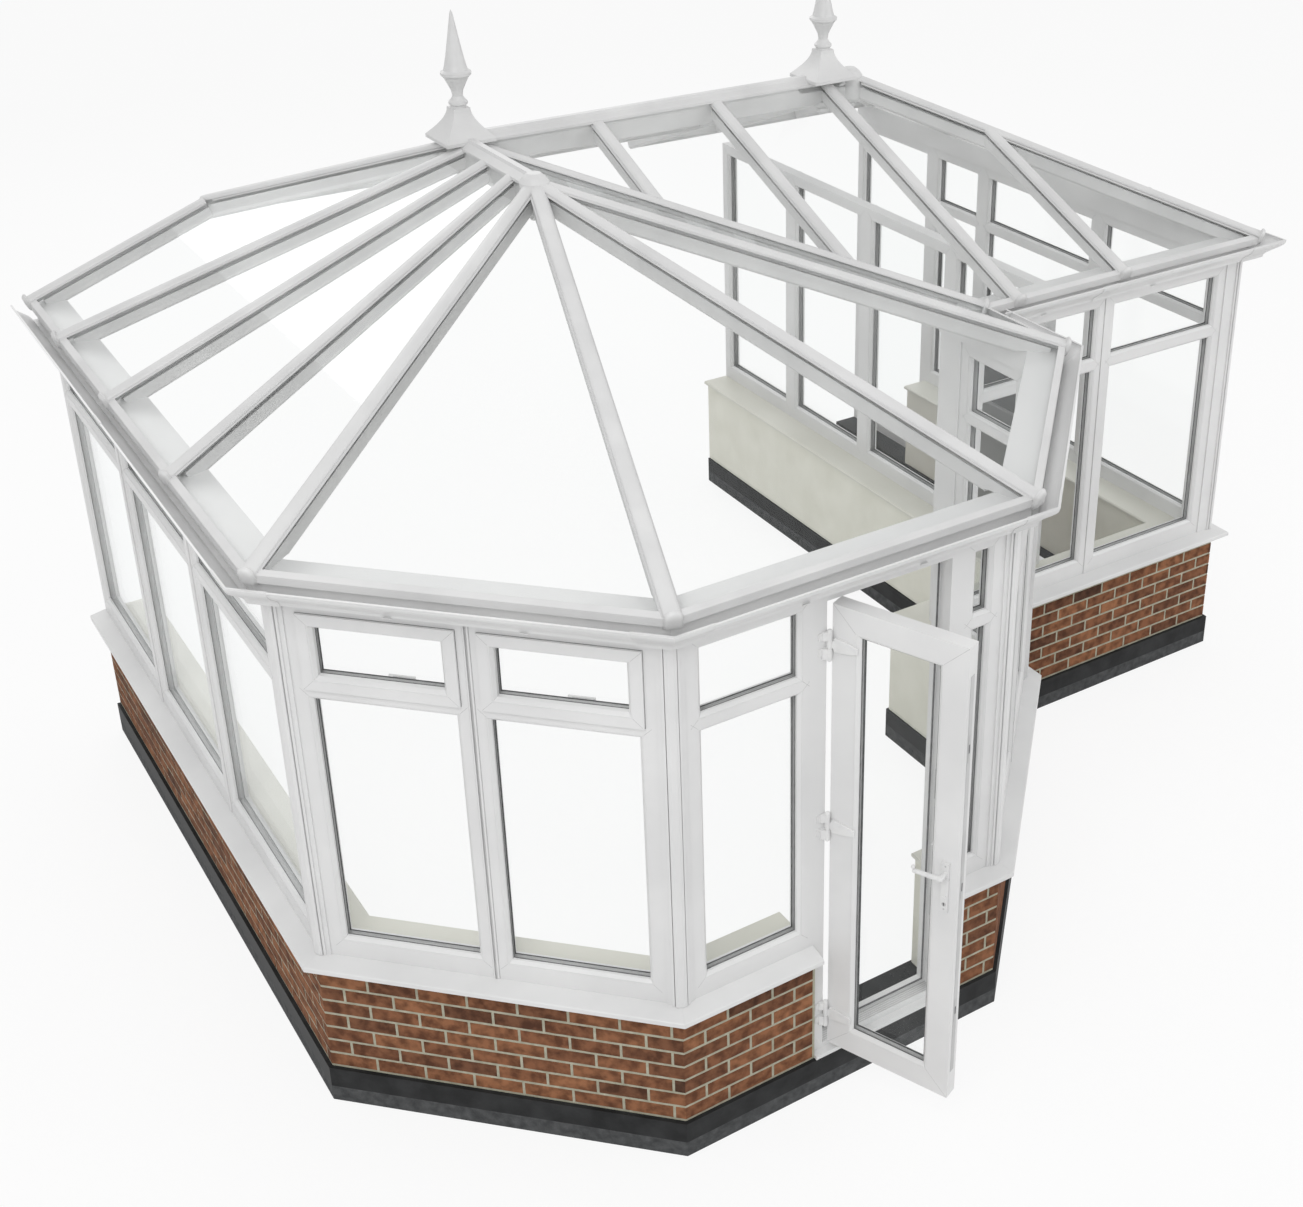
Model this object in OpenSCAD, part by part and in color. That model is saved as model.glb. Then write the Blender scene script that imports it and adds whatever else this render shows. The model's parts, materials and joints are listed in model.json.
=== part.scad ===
// Conservatory with a three sided bay, a wing beside it, dwarf brick walls and a glazed hipped roof.
// Plan sizes run along the outer brick face. The house stands behind it and is not part of it.

/* [Plan] */
// Length of the front side of the bay, where the door is
front_w = 1500; // [1380:10:1700]
// Length of each slanting side of the bay
corner_w = 1440; // [1300:10:1600]
// Length of the left side, from the slanting side to the house
side_w = 3050; // [2800:10:3300]
// Length of the short right side of the bay, up to the wing
return_w = 560; // [480:10:700]
// Length of the front of the wing
wing_w = 1800; // [1600:10:2000]
// Step back of the house wall behind the wing
house_step = 780; // [600:10:900]

/* [Walls] */
// Thickness of the dwarf walls
wall_t = 230; // [215:5:260]
// Thickness of the outer leaf of brick
brick_t = 102; // [90:1:110]
// Height of the grey footing course
footing_h = 72; // [50:1:90]
// Height of the top of the dark plinth
plinth_h = 165; // [140:5:200]
// How far the plinth stands out from the brick
plinth_out = 14; // [5:1:25]
// How far the dark skirting stands out from the plaster
skirting_out = 10; // [5:1:20]
// Height of the top of the brickwork
brick_top = 701; // [600:1:720]
// Clear width of the space between the screen wall and the wing's end wall
passage_w = 808; // [700:1:900]

/* [Sills] */
// Thickness of the outer sill under the frames
sill_t = 25; // [20:1:32]
// How far the outer sill reaches past the brick
sill_out = 60; // [45:1:75]
// Fall of the outer sill to its lip
sill_fall = 14; // [8:1:16]
// Depth of the lip under the outer sill
sill_lip = 10; // [8:1:20]
// Thickness of the inner board
board_t = 20; // [16:1:28]
// How far the inner board reaches past the plaster
board_out = 28; // [15:1:40]

/* [Frames] */
// Depth of the frames from outside to inside
frame_d = 70; // [60:1:75]
// Set back of the frames from the brick face
frame_back = 20; // [15:1:28]
// Face width of a frame bar
frame_w = 52; // [45:1:60]
// Face width of a post between two lights
mullion_w = 94; // [70:1:100]
// Face width of the rail at the foot of a frame
foot_w = 76; // [52:1:90]
// Height of the frame heads
head_z = 2290; // [2200:10:2350]
// Height of the middle of the transoms
transom_z = 1925; // [1850:5:1980]
// Face width of a transom
transom_w = 40; // [36:1:56]
// Width of a corner post along each wall
post_w = 58; // [50:1:70]
// Thickness of the sealed panes
pane_t = 24; // [20:1:28]
// Depth of the groove that holds a pane
groove = 9; // [6:1:12]
// Face width of an opening sash
sash_w = 32; // [28:1:50]
// Cover of a sash over its frame
sash_lap = 8; // [6:1:10]
// How far a sash stands out of its frame
sash_out = 12; // [8:1:14]
// Width of the narrow light beside the house in the wing's end wall
end_light_w = 490; // [400:10:600]

/* [Door] */
// Distance from the door frame to the bay's front right corner
door_from = 257; // [240:1:330]
// Width of the door leaf
leaf_w = 540; // [500:5:560]
// Thickness of the door leaf
leaf_t = 60; // [50:1:60]
// Face width of the leaf's stiles and rails
stile_w = 96; // [85:1:110]
// Gap round the closed leaf
leaf_gap = 5; // [5:0.5:7]
// Extra gap at the leaf's free edge, which swings through a wider arc
swing_gap = 3; // [3:0.5:5]
// Face width of the door frame
jamb_w = 50; // [45:1:60]
// Height of the threshold
threshold_h = 40; // [30:1:50]
// Angle at which the door stands open
door_open = 67; // [60:1:75]
// Radius of the hinge knuckles
knuckle_r = 9; // [8:0.5:10]
// Radius of the hinge pins
pin_r = 5; // [4:0.5:6]
// Running clearance of the hinge pins
pin_play = 0.05; // [0.02:0.01:0.1]
// Length of each hinge
hinge_h = 96; // [80:1:120]
// Height of the lever handles above the leaf's foot
handle_up = 1000; // [900:10:1100]

/* [Roof] */
// Height of the glass plane over the outer brick face
eaves_z = 2430; // [2400:10:2500]
// Height where the glass planes meet the ridges
ridge_z = 3090; // [3000:10:3200]
// Distance from the bay's front to the near end of its ridge
ridge_in = 2400; // [2200:10:2500]
// Distance from the wing's front to the long ridge
wing_ridge_in = 1572; // [1500:4:1600]
// Distance from the wing's end wall to the end of the long ridge
wing_hip_in = 1384; // [1340:4:1500]
// Thickness of the roof panes
roof_pane_t = 24; // [20:1:26]
// Width of the caps on the roof bars
cap_w = 60; // [50:1:70]
// Width of the roof bars under the glass
bar_w = 50; // [40:1:54]
// Depth of the roof bars under the glass
bar_h = 58; // [48:1:64]
// Thickness of the web between a cap and its bar
web_w = 12; // [8:1:16]
// Overhang of the glass and the caps into the gutter
eaves_over = 55; // [45:1:62]
// Distance from the outer brick face to the gutter's rim
gutter_out = 140; // [130:1:150]
// Height of the gutter
gutter_h = 88; // [80:1:94]
// Thickness of the gutter's skin
gutter_t = 4; // [3:0.5:5]
// Depth of the ridge below the glass planes
ridge_depth = 96; // [84:2:110]
// Height of a turned finial above its square foot
finial_h = 440; // [380:10:480]
// Height of the finials' square flared feet
foot_rise = 150; // [110:5:160]

/* [Hidden] */
$fn = 40;

upvc = "whitesmoke";
clear_glass = [0.75, 0.85, 0.88, 0.35];

// Plan points, from the bay's front left corner
corner_run = corner_w * cos(45);
bay_back = [-corner_run, corner_run + side_w];
bay_left = [-corner_run, corner_run];
front_left = [0, 0];
front_right = [front_w, 0];
bay_right = [front_w + corner_run, corner_run];
inner_corner = bay_right + [0, return_w];
wing_front = inner_corner + [wing_w, 0];
house_y = bay_back[1];
wing_house = [wing_front[0], house_y];
back_y = house_y + house_step;
wing_back = [wing_front[0], back_y];
step_x = inner_corner[0];

// The doorway in the front side
door_to = front_w - door_from;
door_near = door_to - 2 * jamb_w - 2 * leaf_gap - swing_gap - leaf_w;
door_start = [door_near, 0];
door_end = [door_to, 0];
door_frame_d = 90;
leaf_back = 6;
axis_out = 14;
axis = [door_near + jamb_w + leaf_gap / 2, frame_back - axis_out];
leaf_z = plinth_h + threshold_h + leaf_gap + 2;
leaf_top = head_z - jamb_w - leaf_gap - 3;
leaf_h = leaf_top - leaf_z;

// The screen wall stands inside the wing, parallel to its end wall
screen_x = wing_front[0] - wall_t - passage_w;
screen_start = [screen_x, inner_corner[1] + wall_t];
screen_end = [screen_x, back_y];

bay_path = [bay_back, bay_left, front_left, door_start];
wing_path = [door_end, front_right, bay_right, inner_corner, wing_front, wing_house];
screen_path = [screen_start, screen_end];
screen_top_path = [screen_start + [0, board_out], screen_end];
full_path = [bay_back, bay_left, front_left, front_right, bay_right, inner_corner, wing_front, wing_back];

joint_gap = 0.3;
hair = 0.05;
sill_z = brick_top + sill_t;
lining_top = sill_z - board_t;
frame_in = frame_back + frame_d;
square_post_w = frame_in + 18;
groove_y = frame_back + (frame_d - pane_t) / 2;

// Roof points in plan
roof_rise = ridge_z - eaves_z;
bay_mid = front_w / 2;
apex = [bay_mid, ridge_in];
hub = [bay_mid, inner_corner[1] + wing_ridge_in];
wing_apex = [wing_front[0] - wing_hip_in, hub[1]];
side_run = bay_mid + corner_run;
front_run = ridge_in;
slant_run = (apex - front_left) * [cos(45), cos(45)];
wing_run = wing_ridge_in;
back_run = back_y - hub[1];
knee_z = ridge_z - (house_y - hub[1]) * roof_rise / back_run;
knee = [-corner_run + side_run * (knee_z - eaves_z) / roof_rise, house_y];

// Overall reach in plan, with the door standing open, for the origin under its middle
leaf_tip = [leaf_gap / 2 + leaf_w, axis_out];
low_y = axis[1] - leaf_tip[0] * sin(door_open) + leaf_tip[1] * cos(door_open);
mid = [(wing_front[0] - corner_run) / 2, (back_y + low_y) / 2];

function heading(a, b) = (b - a) / norm(b - a);
function outward(a, b) = let (h = heading(a, b)) [h[1], -h[0]];
function mitre(n1, n2) = (n1 + n2) / (1 + n1 * n2);
function at_corner(p, i, d) =
    i == 0 ? p[0] + d * outward(p[0], p[1])
    : i == len(p) - 1 ? p[i] + d * outward(p[i - 1], p[i])
    : p[i] + d * mitre(outward(p[i - 1], p[i]), outward(p[i], p[i + 1]));
function span(a, b) = norm(b - a);
function lift(q, z) = [q[0], q[1], z];
function with_y(y0, pts) = [for (p = pts) [y0 + p[0], p[1]]];

module placed() {
    translate([-mid[0], -mid[1], 0]) children();
}

// Band that follows a wall between two distances from the outer brick face
module band(p, d0, d1, z0, z1) {
    translate([0, 0, z0]) linear_extrude(z1 - z0)
        polygon(concat([for (i = [0:len(p) - 1]) at_corner(p, i, d0)],
            [for (i = [len(p) - 1:-1:0]) at_corner(p, i, d1)]));
}

// Frame with X along a wall, Y inward and Z up
module on_run(a, b) {
    translate([a[0], a[1], 0]) rotate(atan2(b[1] - a[1], b[0] - a[0])) children();
}

// Section in Y and Z, drawn out along X
module drawn(length) {
    rotate([90, 0, 90]) linear_extrude(length) children();
}

// Section that follows a wall in separate lengths, with a hairline joint at each mitre
module swept(p, d0, d1, z0, z1) {
    reach = 200;
    for (i = [0:len(p) - 2]) {
        joint = heading(p[i], p[i + 1]) * joint_gap / 2;
        a = i == 0 ? [0, 0] : joint;
        b = i == len(p) - 2 ? [0, 0] : joint;
        intersection() {
            translate([0, 0, z0]) linear_extrude(z1 - z0)
                polygon([at_corner(p, i, d0) + a, at_corner(p, i, d1) + a, at_corner(p, i + 1, d1) - b,
                    at_corner(p, i + 1, d0) - b]);
            on_run(p[i], p[i + 1]) translate([-reach, 0, 0]) drawn(span(p[i], p[i + 1]) + 2 * reach)
                children();
        }
    }
}

module footing() {
    color("dimgray") placed() {
        band(full_path, plinth_out, -wall_t - skirting_out, 0, footing_h);
        band(screen_path, plinth_out, -wall_t - skirting_out, 0, footing_h);
    }
}

module plinth() {
    color([0.16, 0.16, 0.17]) placed() {
        band(full_path, plinth_out, -wall_t - skirting_out, footing_h, plinth_h);
        band(screen_path, plinth_out, -wall_t - skirting_out, footing_h, plinth_h);
    }
}

module brick_leaf(p) {
    color([0.55, 0.3, 0.22]) placed() band(p, 0, -brick_t, plinth_h, brick_top);
}

module lining(p) {
    color([0.85, 0.85, 0.79]) placed() band(p, -brick_t, -wall_t, plinth_h, lining_top);
}

module sill(p) {
    lip_y = -sill_out;
    color(upvc) placed() swept(p, sill_out, -frame_in, brick_top - 2 * sill_lip, sill_z + 1)
        polygon([[frame_in, brick_top], [frame_in, sill_z], [frame_back - 4, sill_z],
            [lip_y + 3, sill_z - sill_fall], [lip_y, sill_z - sill_fall - 3],
            [lip_y, brick_top - sill_lip], [lip_y + 10, brick_top - sill_lip], [lip_y + 10, brick_top]]);
}

module board(p) {
    nose = wall_t + board_out;
    color(upvc) placed() swept(p, -frame_in, -nose, lining_top - 1, lining_top + board_t + 1)
        polygon([[frame_in, lining_top], [nose - 4, lining_top], [nose, lining_top + 4],
            [nose, lining_top + board_t - 6], [nose - 6, lining_top + board_t],
            [frame_in, lining_top + board_t]]);
}

// Post on the mitre of two walls, with a bead and a shallow rib on each face
module corner_post(a, c, b, w) {
    p = [a, c, b];
    h1 = heading(a, c);
    h2 = heading(c, b);
    n1 = outward(a, c);
    n2 = outward(c, b);
    outer = -frame_back + 6;
    inner = -frame_in - 6;
    crest = outer + 6;
    steps = [[w, outer], [40, outer], [40, crest], [30, crest], [30, outer], [16, outer], [16, crest]];
    translate([0, 0, sill_z]) linear_extrude(head_z - sill_z)
        polygon(concat([for (s = steps) c + n1 * s[1] - h1 * s[0]], [at_corner(p, 1, crest)],
            [for (k = [len(steps) - 1:-1:0]) c + n2 * steps[k][1] + h2 * steps[k][0]],
            [c + n2 * inner + h2 * w, at_corner(p, 1, inner), c + n1 * inner - h1 * w]));
}

module corner_posts() {
    color(upvc) placed() for (i = [1:len(full_path) - 2])
        corner_post(full_path[i - 1], full_path[i], full_path[i + 1],
            full_path[i] == wing_front ? square_post_w : post_w);
}

// Hole of one light, with the groove that its pane sits in
module light_hole(x0, x1, z0, z1) {
    translate([x0, frame_back - 1, z0]) cube([x1 - x0, frame_d + 2, z1 - z0]);
    pane(x0, x1, z0, z1);
}

module pane(x0, x1, z0, z1) {
    translate([x0 - groove, groove_y, z0 - groove])
        cube([x1 - x0 + 2 * groove, pane_t, z1 - z0 + 2 * groove]);
}

// Edges of the lights between posts at the given places
function light_edges(x0, x1, posts) =
    let (all = concat([x0 + frame_w - mullion_w / 2], posts, [x1 - frame_w + mullion_w / 2]))
    [for (i = [0:len(all) - 2]) [all[i] + mullion_w / 2, all[i + 1] - mullion_w / 2]];
function even_posts(x0, x1, n) = [for (i = [1:1:n - 1]) x0 + (x1 - x0) * i / n];
low_top = transom_z - transom_w / 2;
high_foot = transom_z + transom_w / 2;
light_foot = sill_z + foot_w;
light_head = head_z - frame_w;

// Whole glazed frame of one wall, with a transom under its top lights
module window_wall(x0, x1, posts, transom = true, foot = sill_z) {
    difference() {
        translate([x0, frame_back, foot]) cube([x1 - x0, frame_d, head_z - foot]);
        for (e = light_edges(x0, x1, posts)) {
            light_hole(e[0], e[1], foot + foot_w, transom ? low_top : light_head);
            if (transom) light_hole(e[0], e[1], high_foot, light_head);
        }
    }
    for (x = posts)
        translate([x - 5, frame_back - 5, foot]) cube([10, 5, head_z - foot]);
}

module panes(x0, x1, posts, transom = true, foot = sill_z) {
    for (e = light_edges(x0, x1, posts)) {
        pane(e[0], e[1], foot + foot_w, transom ? low_top : light_head);
        if (transom) pane(e[0], e[1], high_foot, light_head);
    }
}

// Top hung sash that laps over its frame
module sash(x0, x1) {
    z0 = high_foot;
    z1 = light_head;
    play = 3;
    difference() {
        union() {
            translate([x0 - sash_lap, frame_back - sash_out, z0 - sash_lap])
                cube([x1 - x0 + 2 * sash_lap, sash_out, z1 - z0 + 2 * sash_lap]);
            translate([x0 + play, frame_back, z0 + play])
                cube([x1 - x0 - 2 * play, frame_d - 10, z1 - z0 - 2 * play]);
        }
        translate([x0 + sash_w, frame_back - sash_out - 1, z0 + sash_w])
            cube([x1 - x0 - 2 * sash_w, frame_d + sash_out, z1 - z0 - 2 * sash_w]);
        pane(x0 + sash_w, x1 - sash_w, z0 + sash_w, z1 - sash_w);
    }
}

// Frame of a slanting side, a hair clear of its neighbours: fixed lights below, open ways for sashes above
module sash_wall(x0, x1, posts) {
    difference() {
        translate([x0 + hair, frame_back, sill_z]) cube([x1 - x0 - 2 * hair, frame_d, head_z - sill_z - hair]);
        for (e = light_edges(x0, x1, posts)) {
            light_hole(e[0], e[1], light_foot, low_top);
            translate([e[0], frame_back - 1, high_foot])
                cube([e[1] - e[0], frame_d + 2, light_head - high_foot]);
        }
    }
    for (x = posts)
        translate([x - 5, frame_back - 5, sill_z]) cube([10, 5, head_z - sill_z - hair]);
}

left_posts = even_posts(0, side_w - post_w, 3);
corner_mid = [corner_w / 2];
wing_mid = [(post_w + wing_w - square_post_w) / 2];
end_w = house_y - wing_front[1];
end_posts = [(end_w - end_light_w) / 2, end_w - end_light_w];
screen_w = span(screen_start, screen_end);
screen_posts = even_posts(0, screen_w, 4);

module window_left() {
    color(upvc) placed() on_run(bay_back, bay_left) window_wall(0, side_w - post_w, left_posts);
}

module window_left_corner() {
    color(upvc) placed() on_run(bay_left, front_left) sash_wall(post_w, corner_w - post_w, corner_mid);
}

module window_front() {
    color(upvc) placed() on_run(front_left, front_right) window_wall(post_w, door_near, []);
}

module window_front_narrow() {
    color(upvc) placed() on_run(front_left, front_right) window_wall(door_to, front_w - post_w, []);
}

module window_right_corner() {
    color(upvc) placed() on_run(front_right, bay_right) sash_wall(post_w, corner_w - post_w, corner_mid);
}

module window_return() {
    color(upvc) placed() on_run(bay_right, inner_corner)
        window_wall(post_w, return_w - post_w, []);
}

module window_wing_front() {
    color(upvc) placed() on_run(inner_corner, wing_front)
        window_wall(post_w, wing_w - square_post_w, wing_mid);
}

module window_wing_end() {
    color(upvc) placed() on_run(wing_front, wing_house) window_wall(square_post_w, end_w, end_posts);
}

module side_light() {
    color(upvc) placed() on_run(wing_house, wing_back) window_wall(0, house_step, [], false, plinth_h);
}

module screen_frame() {
    color(upvc) placed() on_run(screen_start, screen_end)
        window_wall(0, screen_w, screen_posts, false);
}

module sash_set() {
    for (e = light_edges(post_w, corner_w - post_w, corner_mid)) sash(e[0], e[1]);
}

module sashes() {
    color(upvc) placed() {
        on_run(bay_left, front_left) sash_set();
        on_run(front_right, bay_right) sash_set();
    }
}

module sash_wall_panes() {
    for (e = light_edges(post_w, corner_w - post_w, corner_mid)) {
        pane(e[0], e[1], light_foot, low_top);
        pane(e[0] + sash_w, e[1] - sash_w, high_foot + sash_w, light_head - sash_w);
    }
}

module glass_bay() {
    color(clear_glass) placed() {
        on_run(bay_back, bay_left) panes(0, side_w - post_w, left_posts);
        on_run(bay_left, front_left) sash_wall_panes();
        on_run(front_left, front_right) panes(post_w, door_near, []);
        on_run(front_left, front_right) panes(door_to, front_w - post_w, []);
        on_run(front_right, bay_right) sash_wall_panes();
    }
}

module glass_wing() {
    color(clear_glass) placed() {
        on_run(bay_right, inner_corner) panes(post_w, return_w - post_w, []);
        on_run(inner_corner, wing_front) panes(post_w, wing_w - square_post_w, wing_mid);
        on_run(wing_front, wing_house) panes(square_post_w, end_w, end_posts);
        on_run(wing_house, wing_back) panes(0, house_step, [], false, plinth_h);
    }
}

module glass_screen() {
    color(clear_glass) placed() on_run(screen_start, screen_end)
        panes(0, screen_w, screen_posts, false);
}

// Door frame with a stop behind the leaf and a threshold on the plinth
module door_frame() {
    stop = 15;
    stop_y = frame_back + leaf_t + leaf_back;
    color(upvc) placed() {
        difference() {
            translate([door_near, frame_back, plinth_h])
                cube([door_to - door_near, door_frame_d, head_z - plinth_h]);
            translate([door_near + jamb_w, frame_back - 1, plinth_h + threshold_h])
                cube([door_to - door_near - 2 * jamb_w, stop_y - frame_back + 1,
                    head_z - jamb_w - plinth_h - threshold_h]);
            translate([door_near + jamb_w + stop, frame_back - 1, plinth_h + threshold_h + stop])
                cube([door_to - door_near - 2 * jamb_w - 2 * stop, door_frame_d + 2,
                    head_z - jamb_w - 2 * stop - plinth_h - threshold_h]);
        }
        translate([door_near, -plinth_out, plinth_h]) cube([door_to - door_near, frame_back + plinth_out, 18]);
    }
}

hinge_places = [0.08, 0.53, 0.92];

// Leaf standing closed, turned open about its hinge line
module open_leaf() {
    placed() translate([axis[0], axis[1], 0]) rotate(-door_open) children();
}

module door_leaf() {
    x0 = leaf_gap / 2;
    y0 = axis_out;
    lens = stile_w;
    color(upvc) open_leaf() difference() {
        translate([x0, y0, leaf_z]) cube([leaf_w, leaf_t, leaf_h]);
        translate([x0 + lens, y0 - 1, leaf_z + lens])
            cube([leaf_w - 2 * lens, leaf_t + 2, leaf_h - 2 * lens]);
        leaf_pane();
    }
}

module leaf_pane() {
    translate([leaf_gap / 2 + stile_w - groove, axis_out + (leaf_t - pane_t) / 2, leaf_z + stile_w - groove])
        cube([leaf_w - 2 * stile_w + 2 * groove, pane_t, leaf_h - 2 * stile_w + 2 * groove]);
}

module door_glass() {
    color(clear_glass) open_leaf() leaf_pane();
}

knuckle_h = (hinge_h - 1) / 3;
flag_t = 4;
flag_w = 40;

// Two knuckles, their pin and a flag plate screwed to the frame's face
module frame_hinge(z) {
    translate([0, 0, z]) {
        for (k = [0, 2]) translate([0, 0, k * (knuckle_h + 0.5)]) cylinder(r = knuckle_r, h = knuckle_h);
        cylinder(r = pin_r, h = hinge_h);
        for (k = [0, 2]) translate([-flag_w, axis_out - flag_t, k * (knuckle_h + 0.5)])
            cube([flag_w - 2, flag_t, knuckle_h]);
        for (k = [0, 2]) translate([-knuckle_r, 0, k * (knuckle_h + 0.5)])
            cube([knuckle_r - pin_r, axis_out, knuckle_h]);
    }
}

module frame_hinges() {
    color(upvc) placed() translate([axis[0], axis[1], 0])
        for (s = hinge_places) frame_hinge(leaf_z + s * leaf_h - hinge_h / 2);
}

// Middle knuckle, bored for the pin, with its flag on the leaf's face
module leaf_hinge(z) {
    translate([0, 0, z + knuckle_h + 0.5]) difference() {
        union() {
            cylinder(r = knuckle_r, h = knuckle_h);
            translate([0, axis_out - flag_t, 0]) cube([flag_w, flag_t, knuckle_h]);
            cube([knuckle_r, axis_out - flag_t, knuckle_h]);
        }
        translate([0, 0, -1]) cylinder(r = pin_r + pin_play, h = knuckle_h + 2);
    }
}

module leaf_hinges() {
    color(upvc) open_leaf() for (s = hinge_places) leaf_hinge(leaf_z + s * leaf_h - hinge_h / 2);
}

// Lever handle on a long backplate, on one face of the leaf
module lever() {
    plate_w = 30;
    plate_h = 220;
    plate_t = 9;
    lever_l = 112;
    translate([-plate_w / 2, -plate_t, -plate_h / 2]) cube([plate_w, plate_t, plate_h]);
    translate([0, 0, 62]) rotate([90, 0, 0]) cylinder(r = 10, h = 44);
    translate([0, -44, 62]) sphere(r = 10);
    translate([0, -44, 62]) rotate([0, -94, 0]) cylinder(r1 = 10, r2 = 8, h = lever_l);
    translate([-lever_l * cos(4), -44, 62 + lever_l * sin(-4) * -1]) sphere(r = 8);
    translate([0, -plate_t + 1, -40]) rotate([90, 0, 0]) cylinder(r = 8, h = 5);
}

module door_handles() {
    hx = leaf_gap / 2 + leaf_w - stile_w / 2;
    hz = leaf_z + handle_up;
    color(upvc) open_leaf() {
        translate([hx, axis_out, hz]) lever();
        translate([hx, axis_out + leaf_t, hz]) mirror([0, 1, 0]) lever();
    }
}

// Stepped beam on the frame heads, which carries the bars and the gutter
beam_out = 26;
beam_top = eaves_z - 28;

beam_core = 10;
beam_in = frame_in + 12;
beam_step = beam_top - 70;

module eaves_beam() {
    color(upvc) placed() {
        band(full_path, beam_core, -beam_in, head_z, beam_step);
        band(full_path, beam_out, -beam_in, beam_step, beam_top);
    }
}

// Seat that the roof bars are notched over
module beam_seat(out = beam_out) {
    band(full_path, out, -beam_in, head_z, beam_top);
}

// Ogee gutter hung on the beam's face
module gutter() {
    g_foot = beam_top - gutter_h;
    g_in = beam_out;
    swing = gutter_out - gutter_t - g_in - 34;
    steps = 10;
    front = [for (k = [0:steps]) [-(g_in + 30 + swing * (1 - cos(180 * k / steps)) / 2),
        g_foot + gutter_h * k / steps]];
    rim = front[steps];
    skin = [for (k = [steps:-1:1]) front[k] + [gutter_t, 0]];
    color(upvc) placed() swept(full_path, gutter_out + 2, beam_out, g_foot - 1, beam_top + 8)
        polygon(concat([[-g_in, g_foot]], front, [rim + [-gutter_t, 2], rim + [-gutter_t, 6], rim + [gutter_t, 6]],
            skin, [front[1] + [gutter_t, gutter_t - gutter_h / steps], [-g_in - gutter_t, g_foot + gutter_t],
            [-g_in - gutter_t, beam_top], [-g_in, beam_top]]));
}

// Section of a roof bar: domed cap over the glass, web between the panes, chamfered bar below
dome = [for (a = [0:15:180]) [cap_w / 2 * cos(a), roof_pane_t / 2 + 7 + 15 * sin(a)]];
cap_section = concat([[web_w / 2, roof_pane_t / 2], [cap_w / 2, roof_pane_t / 2]], dome,
    [[-cap_w / 2, roof_pane_t / 2], [-web_w / 2, roof_pane_t / 2],
    [-web_w / 2, -roof_pane_t / 2 - 1], [web_w / 2, -roof_pane_t / 2 - 1]]);
under = -roof_pane_t / 2;
hip_drop = 12;
function bar_section(h) = [[bar_w / 2, under], [-bar_w / 2, under], [-bar_w / 2, under - h + 12],
    [-bar_w / 2 + 10, under - h], [bar_w / 2 - 10, under - h], [bar_w / 2, under - h + 12]];

slot_w = web_w + 2;
cap_end = 8;

// Bar along X, with its cap and glass seat from over before its start
module whole_bar(length, over, h) {
    translate([-over, 0, 0]) drawn(length + over) polygon(cap_section);
    drawn(length) polygon(bar_section(h));
    if (over > 0) translate([-over - cap_end, 0, 0]) drawn(cap_end) {
        translate([0, 19]) circle(r = cap_w / 2);
        translate([-cap_w / 2, -roof_pane_t]) square([cap_w, 19 + roof_pane_t]);
    }
}

// Room for the round cap at a bar's end, in front of which the glass is cut away
module end_notch(over) {
    if (over > 0) translate([-3 * over, -cap_w / 2 - 1, -2 * roof_pane_t])
        cube([2 * over, cap_w + 2, 4 * roof_pane_t]);
}

// A bar, or what the panes leave out for it: the slot for its web and the notch at its end
$cut = "none";
module roof_bar(length, over, h = bar_h) {
    if ($cut == "none") whole_bar(length, over, h);
    else end_notch(over);
    if ($cut == "slots") translate([-2 * over, -slot_w / 2, -roof_pane_t])
        cube([length + 2 * over, slot_w, 2 * roof_pane_t]);
}

// Bar between two points in space, upright across, that stops inside the boss at its top
module bar_between(p, q, over) {
    flat = norm([q[0] - p[0], q[1] - p[1]]);
    translate(p) rotate([0, -atan2(q[2] - p[2], flat), atan2(q[1] - p[1], q[0] - p[0])])
        roof_bar(norm(q - p) - boss_r / 2, over, bar_h + hip_drop);
}

// Frame in a roof slope: X along its eaves, Y up the slope
module on_slope(a, b, run) {
    on_run(a, b) translate([0, 0, eaves_z]) rotate([atan2(roof_rise, run), 0, 0]) children();
}

function in_slope(a, b, run, q) =
    let (h = heading(a, b), up = [-h[1], h[0]])
    [(q - a) * h, (q - a) * up * norm([run, roof_rise]) / run];

// Bar lying in a slope between two plan points
module slope_bar(a, b, run, p, q, over) {
    s = in_slope(a, b, run, p);
    e = in_slope(a, b, run, q);
    on_slope(a, b, run) translate([s[0], s[1], 0]) rotate(atan2(e[1] - s[1], e[0] - s[0]))
        roof_bar(norm(e - s), over);
}

module sheet(a, b, run, pts) {
    on_slope(a, b, run) translate([0, 0, -roof_pane_t / 2]) linear_extrude(roof_pane_t)
        polygon([for (q = pts) in_slope(a, b, run, q)]);
}

// Ridge: body, sloping shoulders and a narrow crest, drawn out along X
ridge_s = ridge_depth / 96;
ridge_half = [[38, -96], [38, 4], [52, 4], [52, 16], [20, 38], [14, 52]] * ridge_s;
ridge_section = concat(ridge_half, [for (k = [len(ridge_half) - 1:-1:0]) [-ridge_half[k][0], ridge_half[k][1]]]);
boss_r = 66 * ridge_s;

module ridge_bar(a, b) {
    on_run(a, b) translate([0, 0, ridge_z]) drawn(span(a, b)) polygon(ridge_section);
}

module boss(q) {
    translate([q[0], q[1], ridge_z]) rotate_extrude()
        polygon([[0, -150], [26, -150], [34, -138], [30, -124], [58, -108], [66, -96], [66, 18], [50, 40],
            [30, 56], [0, 56]] * ridge_s);
}

// Finials stand over the corner of the ridges and a little short of the wing's hips
finial_in = 170;
finial_places = [hub, wing_apex - [finial_in, 0]];

// Turned drop under a finial
module drop(q) {
    translate([q[0], q[1], ridge_z]) rotate_extrude()
        polygon([[0, -158], [24, -158], [34, -146], [28, -132], [54, -112], [60, -90], [0, -90]] * ridge_s);
}

module ridge_solid() {
    ridge_bar(apex, hub);
    ridge_bar(hub, wing_apex);
    for (q = [apex, hub, wing_apex]) boss(q);
    for (q = finial_places) drop(q);
}

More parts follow.
